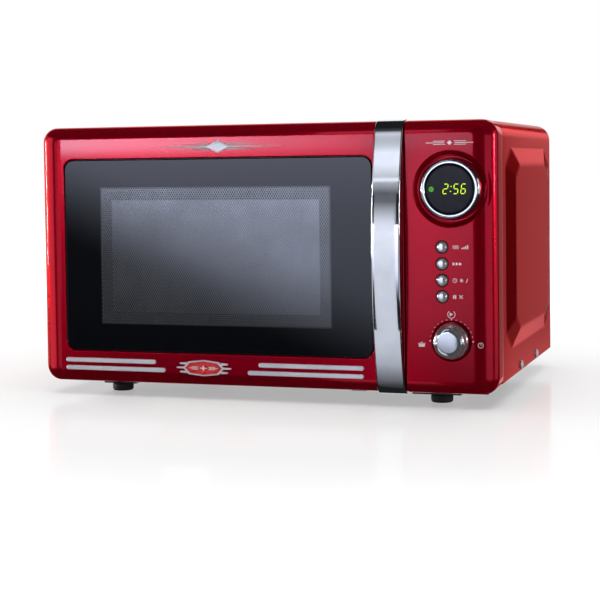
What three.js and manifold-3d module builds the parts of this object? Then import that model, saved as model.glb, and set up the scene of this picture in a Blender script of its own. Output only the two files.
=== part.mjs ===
// Retro countertop microwave oven with a pull-open door, round display and jog dial.
// Millimetres, +Z up, front towards -Y. Inside this file Y = 0 is the joint between the
// fascia and the cabinet; the whole group is shifted so that its origin is the bottom centre.

import * as THREE from 'three';
import { mergeVertices } from 'three/addons/utils/BufferGeometryUtils.js';
import { ConvexGeometry } from 'three/addons/geometries/ConvexGeometry.js';
import Module from 'manifold-3d';

const wasm = await Module();
wasm.setup();

// ---- Driving dimensions -------------------------------------------------------------------
const GAP = 0.3;              // between pieces that touch
const FASCIA_HALF = 225.75;   // half width of the front
const FASCIA_BOTTOM = 12.8;
const TOP = 260.8;            // top of the fascia and of the cover
const FRONT = -31;            // front face of the fascia
const FASCIA_CORNER = 15;     // outline corner radius
const FASCIA_EDGE = 12;       // rounding of the front edges, in depth and along top and bottom
const FASCIA_SIDE = 21;       // its longer sweep along the left and right edges
const DOOR_RIGHT = 141.3;
const PANEL_LEFT = 142.4;
const DOOR_BACK = -1.5;

const COVER_HALF = 224.5;
const COVER_BOTTOM = 19.7;
const COVER_CORNER = 16;
const COVER_DEPTH = 283;
const SHEET = 1.2;            // sheet steel, drawn a little thick
const EMBOSS = 4.25;          // raised side panels
const STANDOFF = 11;          // rear bumps that keep the oven off the wall

const HINGE = { x: -217.75, y: -18 };
const CAVITY = { x0: -197, x1: 109, z0: 37.5, z1: 242.5, depth: 275, corner: 8 };
const FLANGE = { y0: 0.4, y1: 1.6, half: 222.8, z0: 21.3, z1: 259.2 };
const GLASS = { x0: -199.5, x1: 112, z0: 43.8, z1: 229.5, corner: 10 };
const WELL = { x0: 114.2, x1: 138.5, z0: 52, z1: 222, back: -22.3 };
const POCKET = { x0: -207, x1: 137.5, z0: 26.2, z1: 247.7, front: -22 };
const HANDLE = { x0: 115, x1: 141.3, reach: 17.5, thickness: 5.5, wrap: 1.6 };
const LATCH_Z = [75, 200];

const DISPLAY = { x: 185, z: 198.6, dish: 33.75, depth: 4.5 };
const BUTTONS = { x: 176.3, z: [146.5, 131.4, 116.5, 101.8], hole: 5.8, radius: 4.9 };
const DIAL = { x: 184.5, z: 61.8, recess: 18, radius: 15.7 };
const PANEL_WALL = 3;

const TURNTABLE = { x: -44, y: 140, radius: 122.5 };
const WHEEL = { radius: 7, orbit: 90, width: 5 };
const FAN = { x: 170, z: 150, radius: 41 };

const REACH_FRONT = HANDLE.reach - FRONT;
const REACH_BACK = COVER_DEPTH - 1.5 + STANDOFF;
const ORIGIN_Y = (REACH_BACK - REACH_FRONT) / 2;

// ---- Materials ----------------------------------------------------------------------------
const finish = (color, roughness, metalness) =>
  new THREE.MeshStandardMaterial({ color, roughness, metalness });
const redGloss = finish(0xb0101c, 0.2, 0.3);
const redSatin = finish(0xa81822, 0.35, 0.4);
const chrome = finish(0xd8dadd, 0.08, 1);
const steel = finish(0x9a9da1, 0.4, 0.9);
const zinc = finish(0xb9bcc0, 0.45, 0.85);
const enamel = finish(0xc9cbc9, 0.4, 0.1);
const blackPlastic = finish(0x141416, 0.5, 0);
const blackGlass = finish(0x0b0d10, 0.05, 0.1);
const clear = finish(0xdfe8ea, 0.05, 0);
const whitePlastic = finish(0xe6e4dc, 0.5, 0);
const greenBoard = finish(0x1f5a37, 0.6, 0);
const copper = finish(0xa5602c, 0.4, 0.9);
const rubber = finish(0x161616, 0.85, 0);
const mica = finish(0xc8b48c, 0.6, 0);

// ---- Solid helpers ------------------------------------------------------------------------
function solid(geometry) {
  const bare = geometry.clone();
  bare.deleteAttribute('normal');
  bare.deleteAttribute('uv');
  const merged = mergeVertices(bare, 1e-4);
  const mesh = new wasm.Mesh({
    numProp: 3,
    vertProperties: new Float32Array(merged.attributes.position.array),
    triVerts: new Uint32Array(merged.index.array),
  });
  mesh.merge();
  return new wasm.Manifold(mesh);
}

function surface(manifold) {
  const mesh = manifold.getMesh();
  const geometry = new THREE.BufferGeometry();
  geometry.setAttribute('position', new THREE.BufferAttribute(mesh.vertProperties, 3));
  geometry.setIndex(new THREE.BufferAttribute(mesh.triVerts, 1));
  geometry.computeVertexNormals();
  return geometry;
}

function join(first, ...others) {
  return others.reduce((sum, other) => sum.add(other), first);
}

function cut(first, ...tools) {
  return tools.reduce((rest, tool) => rest.subtract(tool), first);
}

function block(x0, x1, y0, y1, z0, z1) {
  const geometry = new THREE.BoxGeometry(x1 - x0, y1 - y0, z1 - z0);
  return solid(geometry.translate((x0 + x1) / 2, (y0 + y1) / 2, (z0 + z1) / 2));
}

// A cylinder or cone from y0 to y1, with its axis along Y.
function rodY(x, z, y0, y1, r0, r1 = r0, sides = 24) {
  const geometry = new THREE.CylinderGeometry(r1, r0, y1 - y0, sides);
  return solid(geometry.translate(x, (y0 + y1) / 2, z));
}

function rodZ(x, y, z0, z1, radius, sides = 24) {
  const geometry = new THREE.CylinderGeometry(radius, radius, z1 - z0, sides);
  return solid(geometry.rotateX(Math.PI / 2).translate(x, y, (z0 + z1) / 2));
}

function rodX(x0, x1, y, z, radius, sides = 16) {
  const geometry = new THREE.CylinderGeometry(radius, radius, x1 - x0, sides);
  return solid(geometry.rotateZ(Math.PI / 2).translate((x0 + x1) / 2, y, z));
}

function roundedRect(x0, x1, z0, z1, radius) {
  const shape = new THREE.Shape();
  shape.absarc(x1 - radius, z0 + radius, radius, -Math.PI / 2, 0);
  shape.absarc(x1 - radius, z1 - radius, radius, 0, Math.PI / 2);
  shape.absarc(x0 + radius, z1 - radius, radius, Math.PI / 2, Math.PI);
  shape.absarc(x0 + radius, z0 + radius, radius, Math.PI, Math.PI * 1.5);
  shape.closePath();
  return shape;
}

// A drawing in X and Z, given thickness from y0 back to y1.
function slab(shape, y0, y1, options = {}) {
  const geometry = new THREE.ExtrudeGeometry(shape, {
    depth: y1 - y0, bevelEnabled: false, curveSegments: 5, ...options,
  });
  return solid(geometry.rotateX(Math.PI / 2).translate(0, y1, 0));
}

function polygon(points) {
  return new THREE.Shape(points.map(([x, y]) => new THREE.Vector2(x, y)));
}

// A drawing in X and Y, given height from z0 to z1.
function sheetZ(shape, z0, z1) {
  const geometry = new THREE.ExtrudeGeometry(shape, { depth: z1 - z0, bevelEnabled: false });
  return solid(geometry.translate(0, 0, z0));
}

// A ring of one rectangular section, in X and Z.
function frameRing(outer, inner, y0, y1) {
  return cut(
    block(outer.x0, outer.x1, y0, y1, outer.z0, outer.z1),
    block(inner.x0, inner.x1, y0 - 1, y1 + 1, inner.z0, inner.z1),
  );
}

// A turned piece around Y. The profile may be given either way round.
function lathe(points, sides = 32) {
  const profile = points.map(([r, y]) => new THREE.Vector2(r, y));
  if (THREE.ShapeUtils.area(profile) < 0) profile.reverse();
  return new THREE.LatheGeometry(profile, sides);
}

// ---- Scene graph --------------------------------------------------------------------------
const oven = new THREE.Group();
oven.position.set(0, -ORIGIN_Y, 0);
const cabinet = new THREE.Group();
const door = new THREE.Group();
const turntable = new THREE.Group();
turntable.position.set(TURNTABLE.x, TURNTABLE.y, 0);
oven.add(cabinet, door, turntable);

function place(group, name, shape, material, position = [0, 0, 0]) {
  const geometry = shape.isBufferGeometry ? shape : surface(shape);
  const mesh = new THREE.Mesh(geometry, material);
  mesh.name = name;
  mesh.position.set(...position);
  group.add(mesh);
  return mesh;
}

// ---- Fascia blank, shared by the door and the control panel -------------------------------
function fasciaBlank(grow = 0) {
  const points = [];
  const addLoop = (angle, y) => {
    const side = (FASCIA_SIDE + grow) * Math.sin(angle) - FASCIA_SIDE;
    const rise = (FASCIA_EDGE + grow) * Math.sin(angle) - FASCIA_EDGE;
    const outline = roundedRect(
      -FASCIA_HALF - side, FASCIA_HALF + side,
      FASCIA_BOTTOM - rise, TOP + rise, FASCIA_CORNER + rise,
    );
    for (const { x, y: z } of outline.getPoints(3)) points.push(new THREE.Vector3(x, y, z));
  };
  for (let step = 0; step <= 5; step += 1) {
    const angle = step * Math.PI / 10;
    addLoop(angle, FRONT + FASCIA_EDGE - (FASCIA_EDGE + grow) * Math.cos(angle));
  }
  addLoop(Math.PI / 2, 40);
  return solid(new ConvexGeometry(points));
}

// ---- Cabinet shell ------------------------------------------------------------------------
function coverBlock(inset, y0, y1, z0) {
  const half = COVER_HALF - inset;
  const radius = COVER_CORNER - inset;
  const top = TOP - inset;
  const shape = new THREE.Shape();
  shape.moveTo(-half, z0);
  shape.lineTo(half, z0);
  shape.absarc(half - radius, top - radius, radius, 0, Math.PI / 2);
  shape.absarc(-half + radius, top - radius, radius, Math.PI / 2, Math.PI);
  shape.closePath();
  return slab(shape, y0, y1, { curveSegments: 6 });
}

function octagon(x, { y0, y1, z0, z1, cy, cz }) {
  const corners = [
    [y0 + cy, z0], [y1 - cy, z0], [y1, z0 + cz], [y1, z1 - cz],
    [y1 - cy, z1], [y0 + cy, z1], [y0, z1 - cz], [y0, z0 + cz],
  ];
  return corners.map(([y, z]) => new THREE.Vector3(x, y, z));
}

function sideEmboss(side, inset) {
  const foot = { y0: 22, y1: 272, z0: 48, z1: 235, cy: 29, cz: 17 };
  const crown = { y0: 52, y1: 242, z0: 63.5, z1: 219.5, cy: 22, cz: 13 };
  const rings = [
    ...octagon(side * (COVER_HALF - 3 - inset), foot),
    ...octagon(side * (COVER_HALF - inset), foot),
    ...octagon(side * (COVER_HALF + EMBOSS - inset), crown),
  ];
  return solid(new ConvexGeometry(rings));
}

function outerCover() {
  const lip = 11;
  const skin = join(coverBlock(0, 0.5, COVER_DEPTH, COVER_BOTTOM),
    sideEmboss(1, 0), sideEmboss(-1, 0));
  return cut(
    skin,
    coverBlock(SHEET, -5, COVER_DEPTH - SHEET, 0),
    sideEmboss(1, SHEET), sideEmboss(-1, SHEET),
    block(-COVER_HALF + lip, COVER_HALF - lip, 200, 300, 0, TOP - lip),
  );
}

// A stamped bump with sloping sides, hanging below the plane z1.
function bump(x0, x1, y0, y1, z0, z1, taper) {
  const points = [];
  for (const [inset, z] of [[0, z1 + 0.5], [0, z1], [taper, z0]]) {
    for (const x of [x0 + inset, x1 - inset]) {
      for (const y of [y0 + inset, y1 - inset]) points.push(new THREE.Vector3(x, y, z));
    }
  }
  return solid(new ConvexGeometry(points));
}

const FEET = {
  front_left_foot: [-159.6, 12], front_right_foot: [165.6, 12],
  rear_left_foot: [-159.6, 250], rear_right_foot: [159.6, 250],
};
const FOOT_TOP = 7;

function basePlate() {
  const drop = COVER_BOTTOM;
  const bottom = FOOT_TOP + GAP;
  let plate = join(
    block(-222.8, 222.8, 2.2, 280, drop, drop + SHEET),
    bump(-178.6, -140.6, 3, 42, bottom, drop, 2),
    bump(77, 97, 3, 24, 8.2, drop, 3),
    bump(137, 187, 3, 36, bottom, drop, 2),
    bump(203, 212, 3, 12, 9, drop, 1.5),
    bump(-178.6, -140.6, 231, 269, bottom, drop, 2),
    bump(140.6, 178.6, 231, 269, bottom, drop, 2),
  );
  for (const [x, y] of Object.values(FEET)) plate = cut(plate, rodZ(x, y, 0, 14, 3.4, 12));
  for (let row = 0; row < 5; row += 1) {
    for (let column = 0; column < 3; column += 1) {
      const x = 132 + column * 26;
      const y = 118 + row * 9;
      plate = cut(plate, block(x, x + 20, y, y + 3.5, drop - 1, drop + 2));
    }
  }
  return plate;
}

function foot() {
  const profile = [
    [0, 0], [9.4, 0], [10.2, 0.9], [10.5, 5.6], [9.9, FOOT_TOP],
    [3, FOOT_TOP], [3, 13], [0, 13],
  ];
  return lathe(profile, 16).rotateX(Math.PI / 2);
}

const GLAND = { x: 196, z: 52 };

function rearPanel() {
  const front = 280.3;
  const back = 281.5;
  let panel = slab(roundedRect(-222.8, 222.8, 21.4, 259.2, 14), front, back);
  for (const x of [-120, 120]) {
    panel = join(panel, rodY(x, 214, back - 0.4, back + STANDOFF, 15, 10, 20));
  }
  for (let row = 0; row < 6; row += 1) {
    for (let column = 0; column < 4; column += 1) {
      const x = 127 + column * 22;
      const z = 112 + row * 13;
      panel = cut(panel, block(x, x + 17, front - 1, back + 1, z, z + 4));
    }
  }
  return cut(panel, rodY(GLAND.x, GLAND.z, front - 1, back + 1, 8, 8, 16));
}

function cordGland() {
  const profile = [
    [4, 277.5], [11, 277.5], [11, 280], [7.7, 280], [7.7, 281.8], [12.5, 281.8],
    [11, 287], [4, 287], [4, 277.5],
  ];
  return lathe(profile, 16);
}

place(cabinet, 'outer_cover', outerCover(), redSatin);
place(cabinet, 'base_plate', basePlate(), zinc);
place(cabinet, 'rear_panel', rearPanel(), zinc);
place(cabinet, 'cord_gland', cordGland(), blackPlastic, [GLAND.x, 0, GLAND.z]);
for (const [name, [x, y]] of Object.entries(FEET)) {
  place(cabinet, name, foot(), rubber, [x, y, 0]);
}

const screwProfile = [[0, 0], [4.25, 0], [4.25, 0.6], [3.4, 1.7], [1.8, 2.2], [0, 2.2]];
for (const [name, y] of [['cover_screw_front', 99.5], ['cover_screw_rear', 189]]) {
  const head = lathe(screwProfile, 14).rotateZ(-Math.PI / 2);
  place(cabinet, name, head, steel, [COVER_HALF + GAP, y, 25]);
}

// ---- Cooking cavity with its front flange -------------------------------------------------
function cavityShell() {
  const wall = 1;
  const { x0, x1, z0, z1, depth, corner } = CAVITY;
  const flange = slab(
    roundedRect(-FLANGE.half, FLANGE.half, FLANGE.z0, FLANGE.z1, 14), FLANGE.y0, FLANGE.y1,
  );
  const outer = roundedRect(x0 - wall, x1 + wall, z0 - wall, z1 + wall, corner + wall);
  const inner = roundedRect(x0, x1, z0, z1, corner);
  let shell = join(flange, slab(outer, FLANGE.y0, depth + wall));
  shell = cut(shell, slab(inner, -2, depth));
  shell = cut(shell, block(150, 214, -1, 3, 34, 246));
  for (const z of LATCH_Z) shell = cut(shell, block(117, 136, -1, 3, z - 15, z + 12));
  shell = cut(shell, rodZ(TURNTABLE.x, TURNTABLE.y, z0 - 3, z0 + 3, 6.5, 16));
  shell = cut(shell, block(x1 - 2, x1 + 3, 115, 175, 130, 170));
  for (let row = 0; row < 3; row += 1) {
    for (let column = 0; column < 4; column += 1) {
      shell = cut(shell, rodX(x1 - 2, x1 + 3, 218 + column * 6, 212 + row * 6, 1.7, 6));
      shell = cut(shell, rodX(x0 - 3, x0 + 2, 60 + column * 6, 212 + row * 6, 1.7, 6));
    }
  }
  return shell;
}

place(cabinet, 'cavity_shell', cavityShell(), enamel);
place(cabinet, 'waveguide_cover', block(107.4, 108.7, 108, 182, 123, 177), mica);

// ---- Microwave source and power supply ----------------------------------------------------
const GUIDE = { x0: 110.3, x1: 140, y0: 105, y1: 185, z0: 122, z1: 178 };

function waveguide() {
  const { x0, x1, y0, y1, z0, z1 } = GUIDE;
  return cut(
    block(x0, x1, y0, y1, z0, z1),
    block(x0 - 1, x1 - SHEET, y0 + SHEET, y1 - SHEET, z0 + SHEET, z1 - SHEET),
    rodX(x1 - 5, x1 + 5, 145, 150, 10),
  );
}

function magnetron() {
  const x0 = GUIDE.x1 + GAP;
  const x1 = 214;
  let yoke = cut(block(x0, x1, 112, 178, 118, 182), block(x0 + 9, x1 - 14, 100, 190, 124, 176));
  yoke = join(yoke, rodX(x0 + 5, x1 - 10, 145, 150, 17), rodX(126, x0 + 5, 145, 150, 8));
  for (let fin = 0; fin < 5; fin += 1) {
    const x = x0 + 16 + fin * 8;
    yoke = join(yoke, block(x, x + 1.5, 115, 175, 123, 177));
  }
  return join(yoke, block(x1 - 30, x1 - 4, 125, 165, 104, 119));
}

function transformerCore() {
  return cut(
    block(128, 208, 48, 98, 21.2, 86),
    block(141, 155, 40, 110, 36, 72),
    block(181, 195, 40, 110, 36, 72),
  );
}

function transformerWinding() {
  return cut(block(141.5, 194.5, 38, 108, 36.5, 71.5), block(154.7, 181.3, 47.7, 98.3, 30, 80));
}

function capacitor() {
  const can = slab(roundedRect(140, 192, 24, 58, 16.5), 172, 255);
  return join(can, block(152, 158, 164, 173, 38, 44), block(174, 180, 164, 173, 38, 44));
}

place(cabinet, 'waveguide', waveguide(), zinc);
place(cabinet, 'magnetron', magnetron(), steel);
place(cabinet, 'transformer_core', transformerCore(), steel);
place(cabinet, 'transformer_winding', transformerWinding(), copper);
place(cabinet, 'capacitor', capacitor(), zinc);

// ---- Cooling fan and lamp -----------------------------------------------------------------
function fanShroud() {
  const { x, z } = FAN;
  return cut(
    join(block(x - 51, x + 51, 270, 273, z - 48, z + 48), rodY(x, z, 257, 271, 45, 45, 28)),
    rodY(x, z, 250, 280, 43, 43, 28),
  );
}

function fanMotor() {
  const { x, z } = FAN;
  const legs = [x - 50, x + 46.5].map((left) => block(left, left + 3.5, 232, 269.7, z - 4, z + 4));
  const body = join(
    block(x - 22, x + 22, 214, 238, z - 22, z + 22),
    block(x - 50, x + 50, 232, 236, z - 4, z + 4),
    ...legs,
  );
  return cut(body, rodY(x, z, 226, 240, 4, 4, 12));
}

function fanBlades() {
  let wheel = join(rodY(0, 0, 252, 264, 12, 11, 20), rodY(0, 0, 228, 253, 2.5, 2.5, 12));
  for (let blade = 0; blade < 5; blade += 1) {
    const vane = new THREE.BoxGeometry(FAN.radius - 9, 1.6, 17);
    vane.rotateX(0.55).translate((FAN.radius + 9) / 2, 258, 0);
    vane.rotateY((blade * 2 * Math.PI) / 5);
    wheel = join(wheel, solid(vane));
  }
  return wheel;
}

function ovenLamp() {
  const profile = [[0, 225], [5, 226], [8, 231], [7.5, 236], [5, 240], [8, 241], [8, 250], [0, 250]];
  const bulb = solid(lathe(profile, 16).translate(124, 0, 218));
  return join(
    bulb,
    block(110.3, 138, 249, 250.5, 208, 228),
    block(110.3, 111.5, 249, 268, 208, 228),
  );
}

place(cabinet, 'fan_shroud', fanShroud(), blackPlastic);
place(cabinet, 'fan_motor', fanMotor(), steel);
place(oven, 'fan_blades', fanBlades(), whitePlastic, [FAN.x, 0, FAN.z]);
place(cabinet, 'oven_lamp', ovenLamp(), clear);

// ---- Turntable ----------------------------------------------------------------------------
const FLOOR = CAVITY.z0;
const WHEEL_Z = FLOOR + GAP + WHEEL.radius;
const TRAY_Z = WHEEL_Z + WHEEL.radius + GAP;

function turntableMotor() {
  return join(rodZ(0, 0, 21.3, 35, 25, 24), block(-31, 31, -6, 6, 33, 35));
}

function driveCoupler() {
  let hub = join(rodZ(0, 0, 39, TRAY_Z - GAP, 8, 18), rodZ(0, 0, 35.4, 40, 3.2, 12));
  for (let wing = 0; wing < 3; wing += 1) {
    const bar = new THREE.BoxGeometry(14, 4, TRAY_Z - GAP - 41);
    bar.translate(7, 0, (TRAY_Z - GAP + 41) / 2).rotateZ((wing * 2 * Math.PI) / 3);
    hub = join(hub, solid(bar));
  }
  return hub;
}

function glassTray() {
  const r = TURNTABLE.radius;
  const profile = [
    [0, TRAY_Z], [r - 12, TRAY_Z], [r, TRAY_Z + 9], [r, TRAY_Z + 12], [r - 3, TRAY_Z + 12],
    [r - 13.5, TRAY_Z + 4.5], [0, TRAY_Z + 4.5],
  ];
  return lathe(profile, 36).rotateX(Math.PI / 2);
}

function ringBand(r0, r1, z0, z1, sides) {
  return cut(rodZ(0, 0, z0, z1, r1, sides), rodZ(0, 0, z0 - 1, z1 + 1, r0, sides));
}

function rollerRing() {
  const z0 = WHEEL_Z - 2;
  const z1 = WHEEL_Z + 2;
  let ring = join(ringBand(79, 83, z0, z1, 28), ringBand(18, 22, z0, z1, 16));
  for (const angle of WHEEL_ANGLES) {
    const arm = new THREE.BoxGeometry(60, 6, 4).translate(50.5, 0, WHEEL_Z).rotateZ(angle);
    const axle = new THREE.CylinderGeometry(1.5, 1.5, 14, 10).rotateZ(Math.PI / 2);
    axle.translate(88, 0, WHEEL_Z).rotateZ(angle);
    ring = join(ring, solid(arm), solid(axle));
  }
  return ring;
}

const WHEEL_ANGLES = [0, 1, 2].map((turn) => Math.PI / 2 + (turn * 2 * Math.PI) / 3);

function rollerWheel() {
  const half = WHEEL.width / 2;
  const profile = [
    [1.9, -half], [WHEEL.radius - 0.8, -half], [WHEEL.radius, -half + 0.8],
    [WHEEL.radius, half - 0.8], [WHEEL.radius - 0.8, half], [1.9, half], [1.9, -half],
  ];
  return lathe(profile, 14).rotateZ(-Math.PI / 2);
}

place(turntable, 'turntable_motor', turntableMotor(), steel);
place(turntable, 'drive_coupler', driveCoupler(), whitePlastic);
place(turntable, 'glass_tray', glassTray(), clear);
place(turntable, 'roller_ring', rollerRing(), whitePlastic);
WHEEL_ANGLES.forEach((angle, index) => {
  const position = [WHEEL.orbit * Math.cos(angle), WHEEL.orbit * Math.sin(angle), WHEEL_Z];
  const wheel = place(turntable, `roller_wheel_${index + 1}`, rollerWheel(), whitePlastic, position);
  wheel.rotation.z = angle;
});

// ---- Door interlock -----------------------------------------------------------------------
function interlockBracket() {
  let bracket = join(
    block(136.8, 138.2, 2, 36, 55, 225),
    block(111, 138.2, 2, 3.5, 55, 225),
  );
  for (const z of LATCH_Z) {
    bracket = cut(bracket, block(116, 136.5, 1, 4, z - 15, z + 12));
    bracket = join(bracket, block(116, 138, 34.5, 36, z - 16, z + 16));
  }
  return bracket;
}

function microswitch(z) {
  return join(block(119, 129.5, 18, 34.2, z - 14, z + 14), block(123, 127, 16, 19, z - 2, z + 2));
}

function doorLatch() {
  let latch = block(121, 131, -17, -9, LATCH_Z[0] - 10, LATCH_Z[1] + 10);
  for (const z of LATCH_Z) {
    latch = join(
      latch,
      block(123.5, 127.5, -10, 13, z - 5, z + 5),
      bumpY(123.5, 127.5, 4, 13, z - 11, z - 4),
    );
  }
  return latch;
}

// The barb of a hook: full height at y0, tapering away towards its tip at y1.
function bumpY(x0, x1, y0, y1, z0, z1) {
  const points = [];
  for (const x of [x0, x1]) {
    for (const [y, z] of [[y0, z0], [y0, z1], [y1, z1], [y1, z1 - 1]]) {
      points.push(new THREE.Vector3(x, y, z));
    }
  }
  return solid(new ConvexGeometry(points));
}

place(cabinet, 'interlock_bracket', interlockBracket(), blackPlastic);
place(cabinet, 'lower_microswitch', microswitch(LATCH_Z[0]), blackPlastic);
place(cabinet, 'upper_microswitch', microswitch(LATCH_Z[1]), blackPlastic);
place(door, 'door_latch', doorLatch(), whitePlastic);

// ---- Hinges -------------------------------------------------------------------------------
const HINGE_ARMS = { lower_hinge: [21.5, 24.5], upper_hinge: [249.5, 252.5] };
const HINGE_ROOT = -198;

function hinge([z0, z1], upper) {
  const { x, y } = HINGE;
  const arm = polygon([
    [x, y - 4], [HINGE_ROOT + 3, y - 4], [HINGE_ROOT + 3, -0.5],
    [HINGE_ROOT - 3, -0.5], [HINGE_ROOT - 3, y + 4], [x, y + 4],
  ]);
  const pin = upper ? [z0 - 10, z1] : [z0, z1 + 10];
  const base = upper ? [z0 - 0.5, z1 + 6] : [z0 + 0.5, z1 + 8];
  return join(
    sheetZ(arm, z0, z1),
    rodZ(x, y, z0, z1, 4, 16),
    rodZ(x, y, ...pin, 2, 12),
    block(HINGE_ROOT - 10, HINGE_ROOT + 14, -0.9, 0.1, ...base),
  );
}

for (const [name, levels] of Object.entries(HINGE_ARMS)) {
  place(cabinet, name, hinge(levels, name === 'upper_hinge'), steel);
}

// ---- Door ---------------------------------------------------------------------------------
function doorFrame() {
  const { x, y } = HINGE;
  const swing = 8;                    // radius that clears the cabinet as the door turns
  const windowBack = FRONT + 5.5;
  let frame = fasciaBlank().intersect(block(-300, DOOR_RIGHT, -60, DOOR_BACK, 0, 300));
  frame = cut(
    frame,
    cut(block(-230, x, -9.5, 5, 0, 300), rodZ(x, -9.5, -10, 310, swing, 28)),
    slab(roundedRect(GLASS.x0, GLASS.x1, GLASS.z0, GLASS.z1, GLASS.corner), -40, windowBack),
    block(-182, 98, -40, 0, 60, 214),
    block(WELL.x0 - GAP, WELL.x1 + GAP, -40, -20, WELL.z0 - GAP, WELL.z1 + GAP),
    block(POCKET.x0, POCKET.x1, POCKET.front, 5, POCKET.z0, POCKET.z1),
    rodZ(x, y, 12 + 3, 36, 2.4, 12),
    rodZ(x, y, 238, 254, 2.4, 12),
  );
  for (const [z0, z1] of Object.values(HINGE_ARMS)) {
    const low = z0 < 100 ? z0 - 0.7 : POCKET.z1 - 0.1;
    const high = z0 < 100 ? POCKET.z0 + 0.1 : z1 + 0.7;
    frame = cut(
      frame,
      block(x - 4.6, x + 33, y - 4.6, 5, low, high),
      block(-230, x + 4, -12.5, 5, low, high),
    );
  }
  return frame;
}

function doorGlass() {
  const inset = 0.8;
  const { x0, x1, z0, z1, corner } = GLASS;
  const outline = roundedRect(x0 + inset, x1 - inset, z0 + inset, z1 - inset, corner - inset);
  return slab(outline, FRONT + 1, FRONT + 5.2);
}

const CHOKE = { x0: -206, x1: 116.5, z0: 27, z1: 247 };
const shrink = (box, by) => ({
  x0: box.x0 + by, x1: box.x1 - by, z0: box.z0 + by, z1: box.z1 - by,
});

function doorInnerPanel() {
  const plate = block(CHOKE.x0, CHOKE.x1, -21.5, -20.3, CHOKE.z0, CHOKE.z1);
  return join(
    plate,
    frameRing(CHOKE, shrink(CHOKE, SHEET), -20.8, -4.6),
    frameRing(shrink(CHOKE, 14), shrink(CHOKE, 14 + SHEET), -20.8, -4.6),
  );
}

function chokeCover() {
  return frameRing(shrink(CHOKE, 0.5), shrink(CHOKE, 18), -4.3, DOOR_BACK);
}

function innerWindow() {
  const { x0, x1, z0, z1 } = shrink(CHOKE, 15.6);
  return block(x0, x1, -7, -4.6, z0, z1);
}

function fingerWell() {
  const { x0, x1, z0, z1, back } = WELL;
  return cut(
    block(x0, x1, FRONT + 0.4, back, z0, z1),
    block(x0 + 1.5, x1 - 1.5, -40, back - 1.5, z0 + 1.5, z1 - 1.5),
  );
}

// Side view of the handle, in Y and Z: it wraps the top and bottom edges and bows forward.
function handleOutline() {
  const peak = FRONT - HANDLE.reach;
  const inner = peak + HANDLE.thickness;
  const shape = new THREE.Shape();
  shape.moveTo(-15, TOP + HANDLE.wrap);
  shape.bezierCurveTo(-25.5, TOP + HANDLE.wrap, -32.5, 258.5, -33.5, 250);
  shape.bezierCurveTo(-37, 234, peak, 205, peak, 137);
  shape.bezierCurveTo(peak, 75, -40, 45, -34.5, 24);
  shape.bezierCurveTo(-32.5, 16, -29, FASCIA_BOTTOM - HANDLE.wrap, -20, FASCIA_BOTTOM - HANDLE.wrap);
  shape.lineTo(-19, 20);
  shape.lineTo(-28, 32);
  shape.lineTo(-31.4, 42);
  shape.bezierCurveTo(-38, 62, inner, 90, inner, 137);
  shape.bezierCurveTo(inner, 190, -38, 215, -31.4, 235);
  shape.lineTo(-27, 246);
  shape.lineTo(-15, 256);
  shape.closePath();
  return shape;
}

function doorHandle() {
  const width = HANDLE.x1 - HANDLE.x0;
  const round = 1;
  const geometry = new THREE.ExtrudeGeometry(handleOutline(), {
    depth: width - 2 * round, curveSegments: 9, bevelEnabled: true,
    bevelSize: round, bevelOffset: -round, bevelThickness: round, bevelSegments: 1,
  });
  // Turn the drawing so that its x runs along Y and its y along Z.
  const turn = new THREE.Matrix4().set(0, 0, 1, 0, 1, 0, 0, 0, 0, 1, 0, 0, 0, 0, 0, 1);
  geometry.applyMatrix4(turn).translate(HANDLE.x0 + round, 0, 0);
  return cut(solid(geometry), fasciaBlank(GAP));
}

const TRIM_HEIGHT = 4.2;
const TRIM_BACK = FRONT - GAP;
const TRIMS = {
  trim_upper_left: [-199.6, -104.5, 34.8], trim_lower_left: [-199.6, -94.8, 27.2],
  trim_upper_right: [0.2, 102.6, 34.8], trim_lower_right: [-10.5, 102.6, 27.2],
};

function trimStrip([x0, x1, z]) {
  const half = TRIM_HEIGHT / 2;
  const outline = roundedRect(x0, x1, z - half, z + half, half - 0.1);
  return slab(outline, TRIM_BACK - 1.5, TRIM_BACK, { curveSegments: 3 });
}

// ---- Ornaments ----------------------------------------------------------------------------
const BADGE = { x: -55.2, z: 30.4, half: 20.5, wing: 27.6, top: 7.6 };

function lozenge(half, peak, shoulder) {
  const { x, z } = BADGE;
  return polygon([
    [x - half, z], [x - half + 5, z - shoulder], [x, z - peak], [x + half - 5, z - shoulder],
    [x + half, z], [x + half - 5, z + shoulder], [x, z + peak], [x - half + 5, z + shoulder],
  ]);
}

function badgePlate() {
  const { x, z, wing } = BADGE;
  let plate = slab(lozenge(BADGE.half, BADGE.top, 6), TRIM_BACK - 2, TRIM_BACK);
  for (const [length, height] of [[wing - 3, 4.4], [wing, 0], [wing - 3, -4.4]]) {
    const bar = roundedRect(x - length, x + length, z + height - 1.2, z + height + 1.2, 1.1);
    plate = join(plate, slab(bar, TRIM_BACK - 1.4, TRIM_BACK, { curveSegments: 2 }));
  }
  return plate;
}

function badgeInlay() {
  return slab(lozenge(BADGE.half - 2.6, BADGE.top - 1.7, 4.4), TRIM_BACK - 3, TRIM_BACK - 2.3);
}

// A plain streamline ornament: a diamond between two long tapering darts.
function emblemOrnament() {
  const x = -38;
  const z = 240;
  const back = TRIM_BACK;
  const dart = polygon([[x - 71.5, z], [x, z - 1.6], [x + 71.5, z], [x, z + 1.6]]);
  const diamond = polygon([[x - 15, z], [x, z - 6.2], [x + 15, z], [x, z + 6.2]]);
  return join(slab(dart, back - 1.2, back), slab(diamond, back - 2, back));
}

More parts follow.
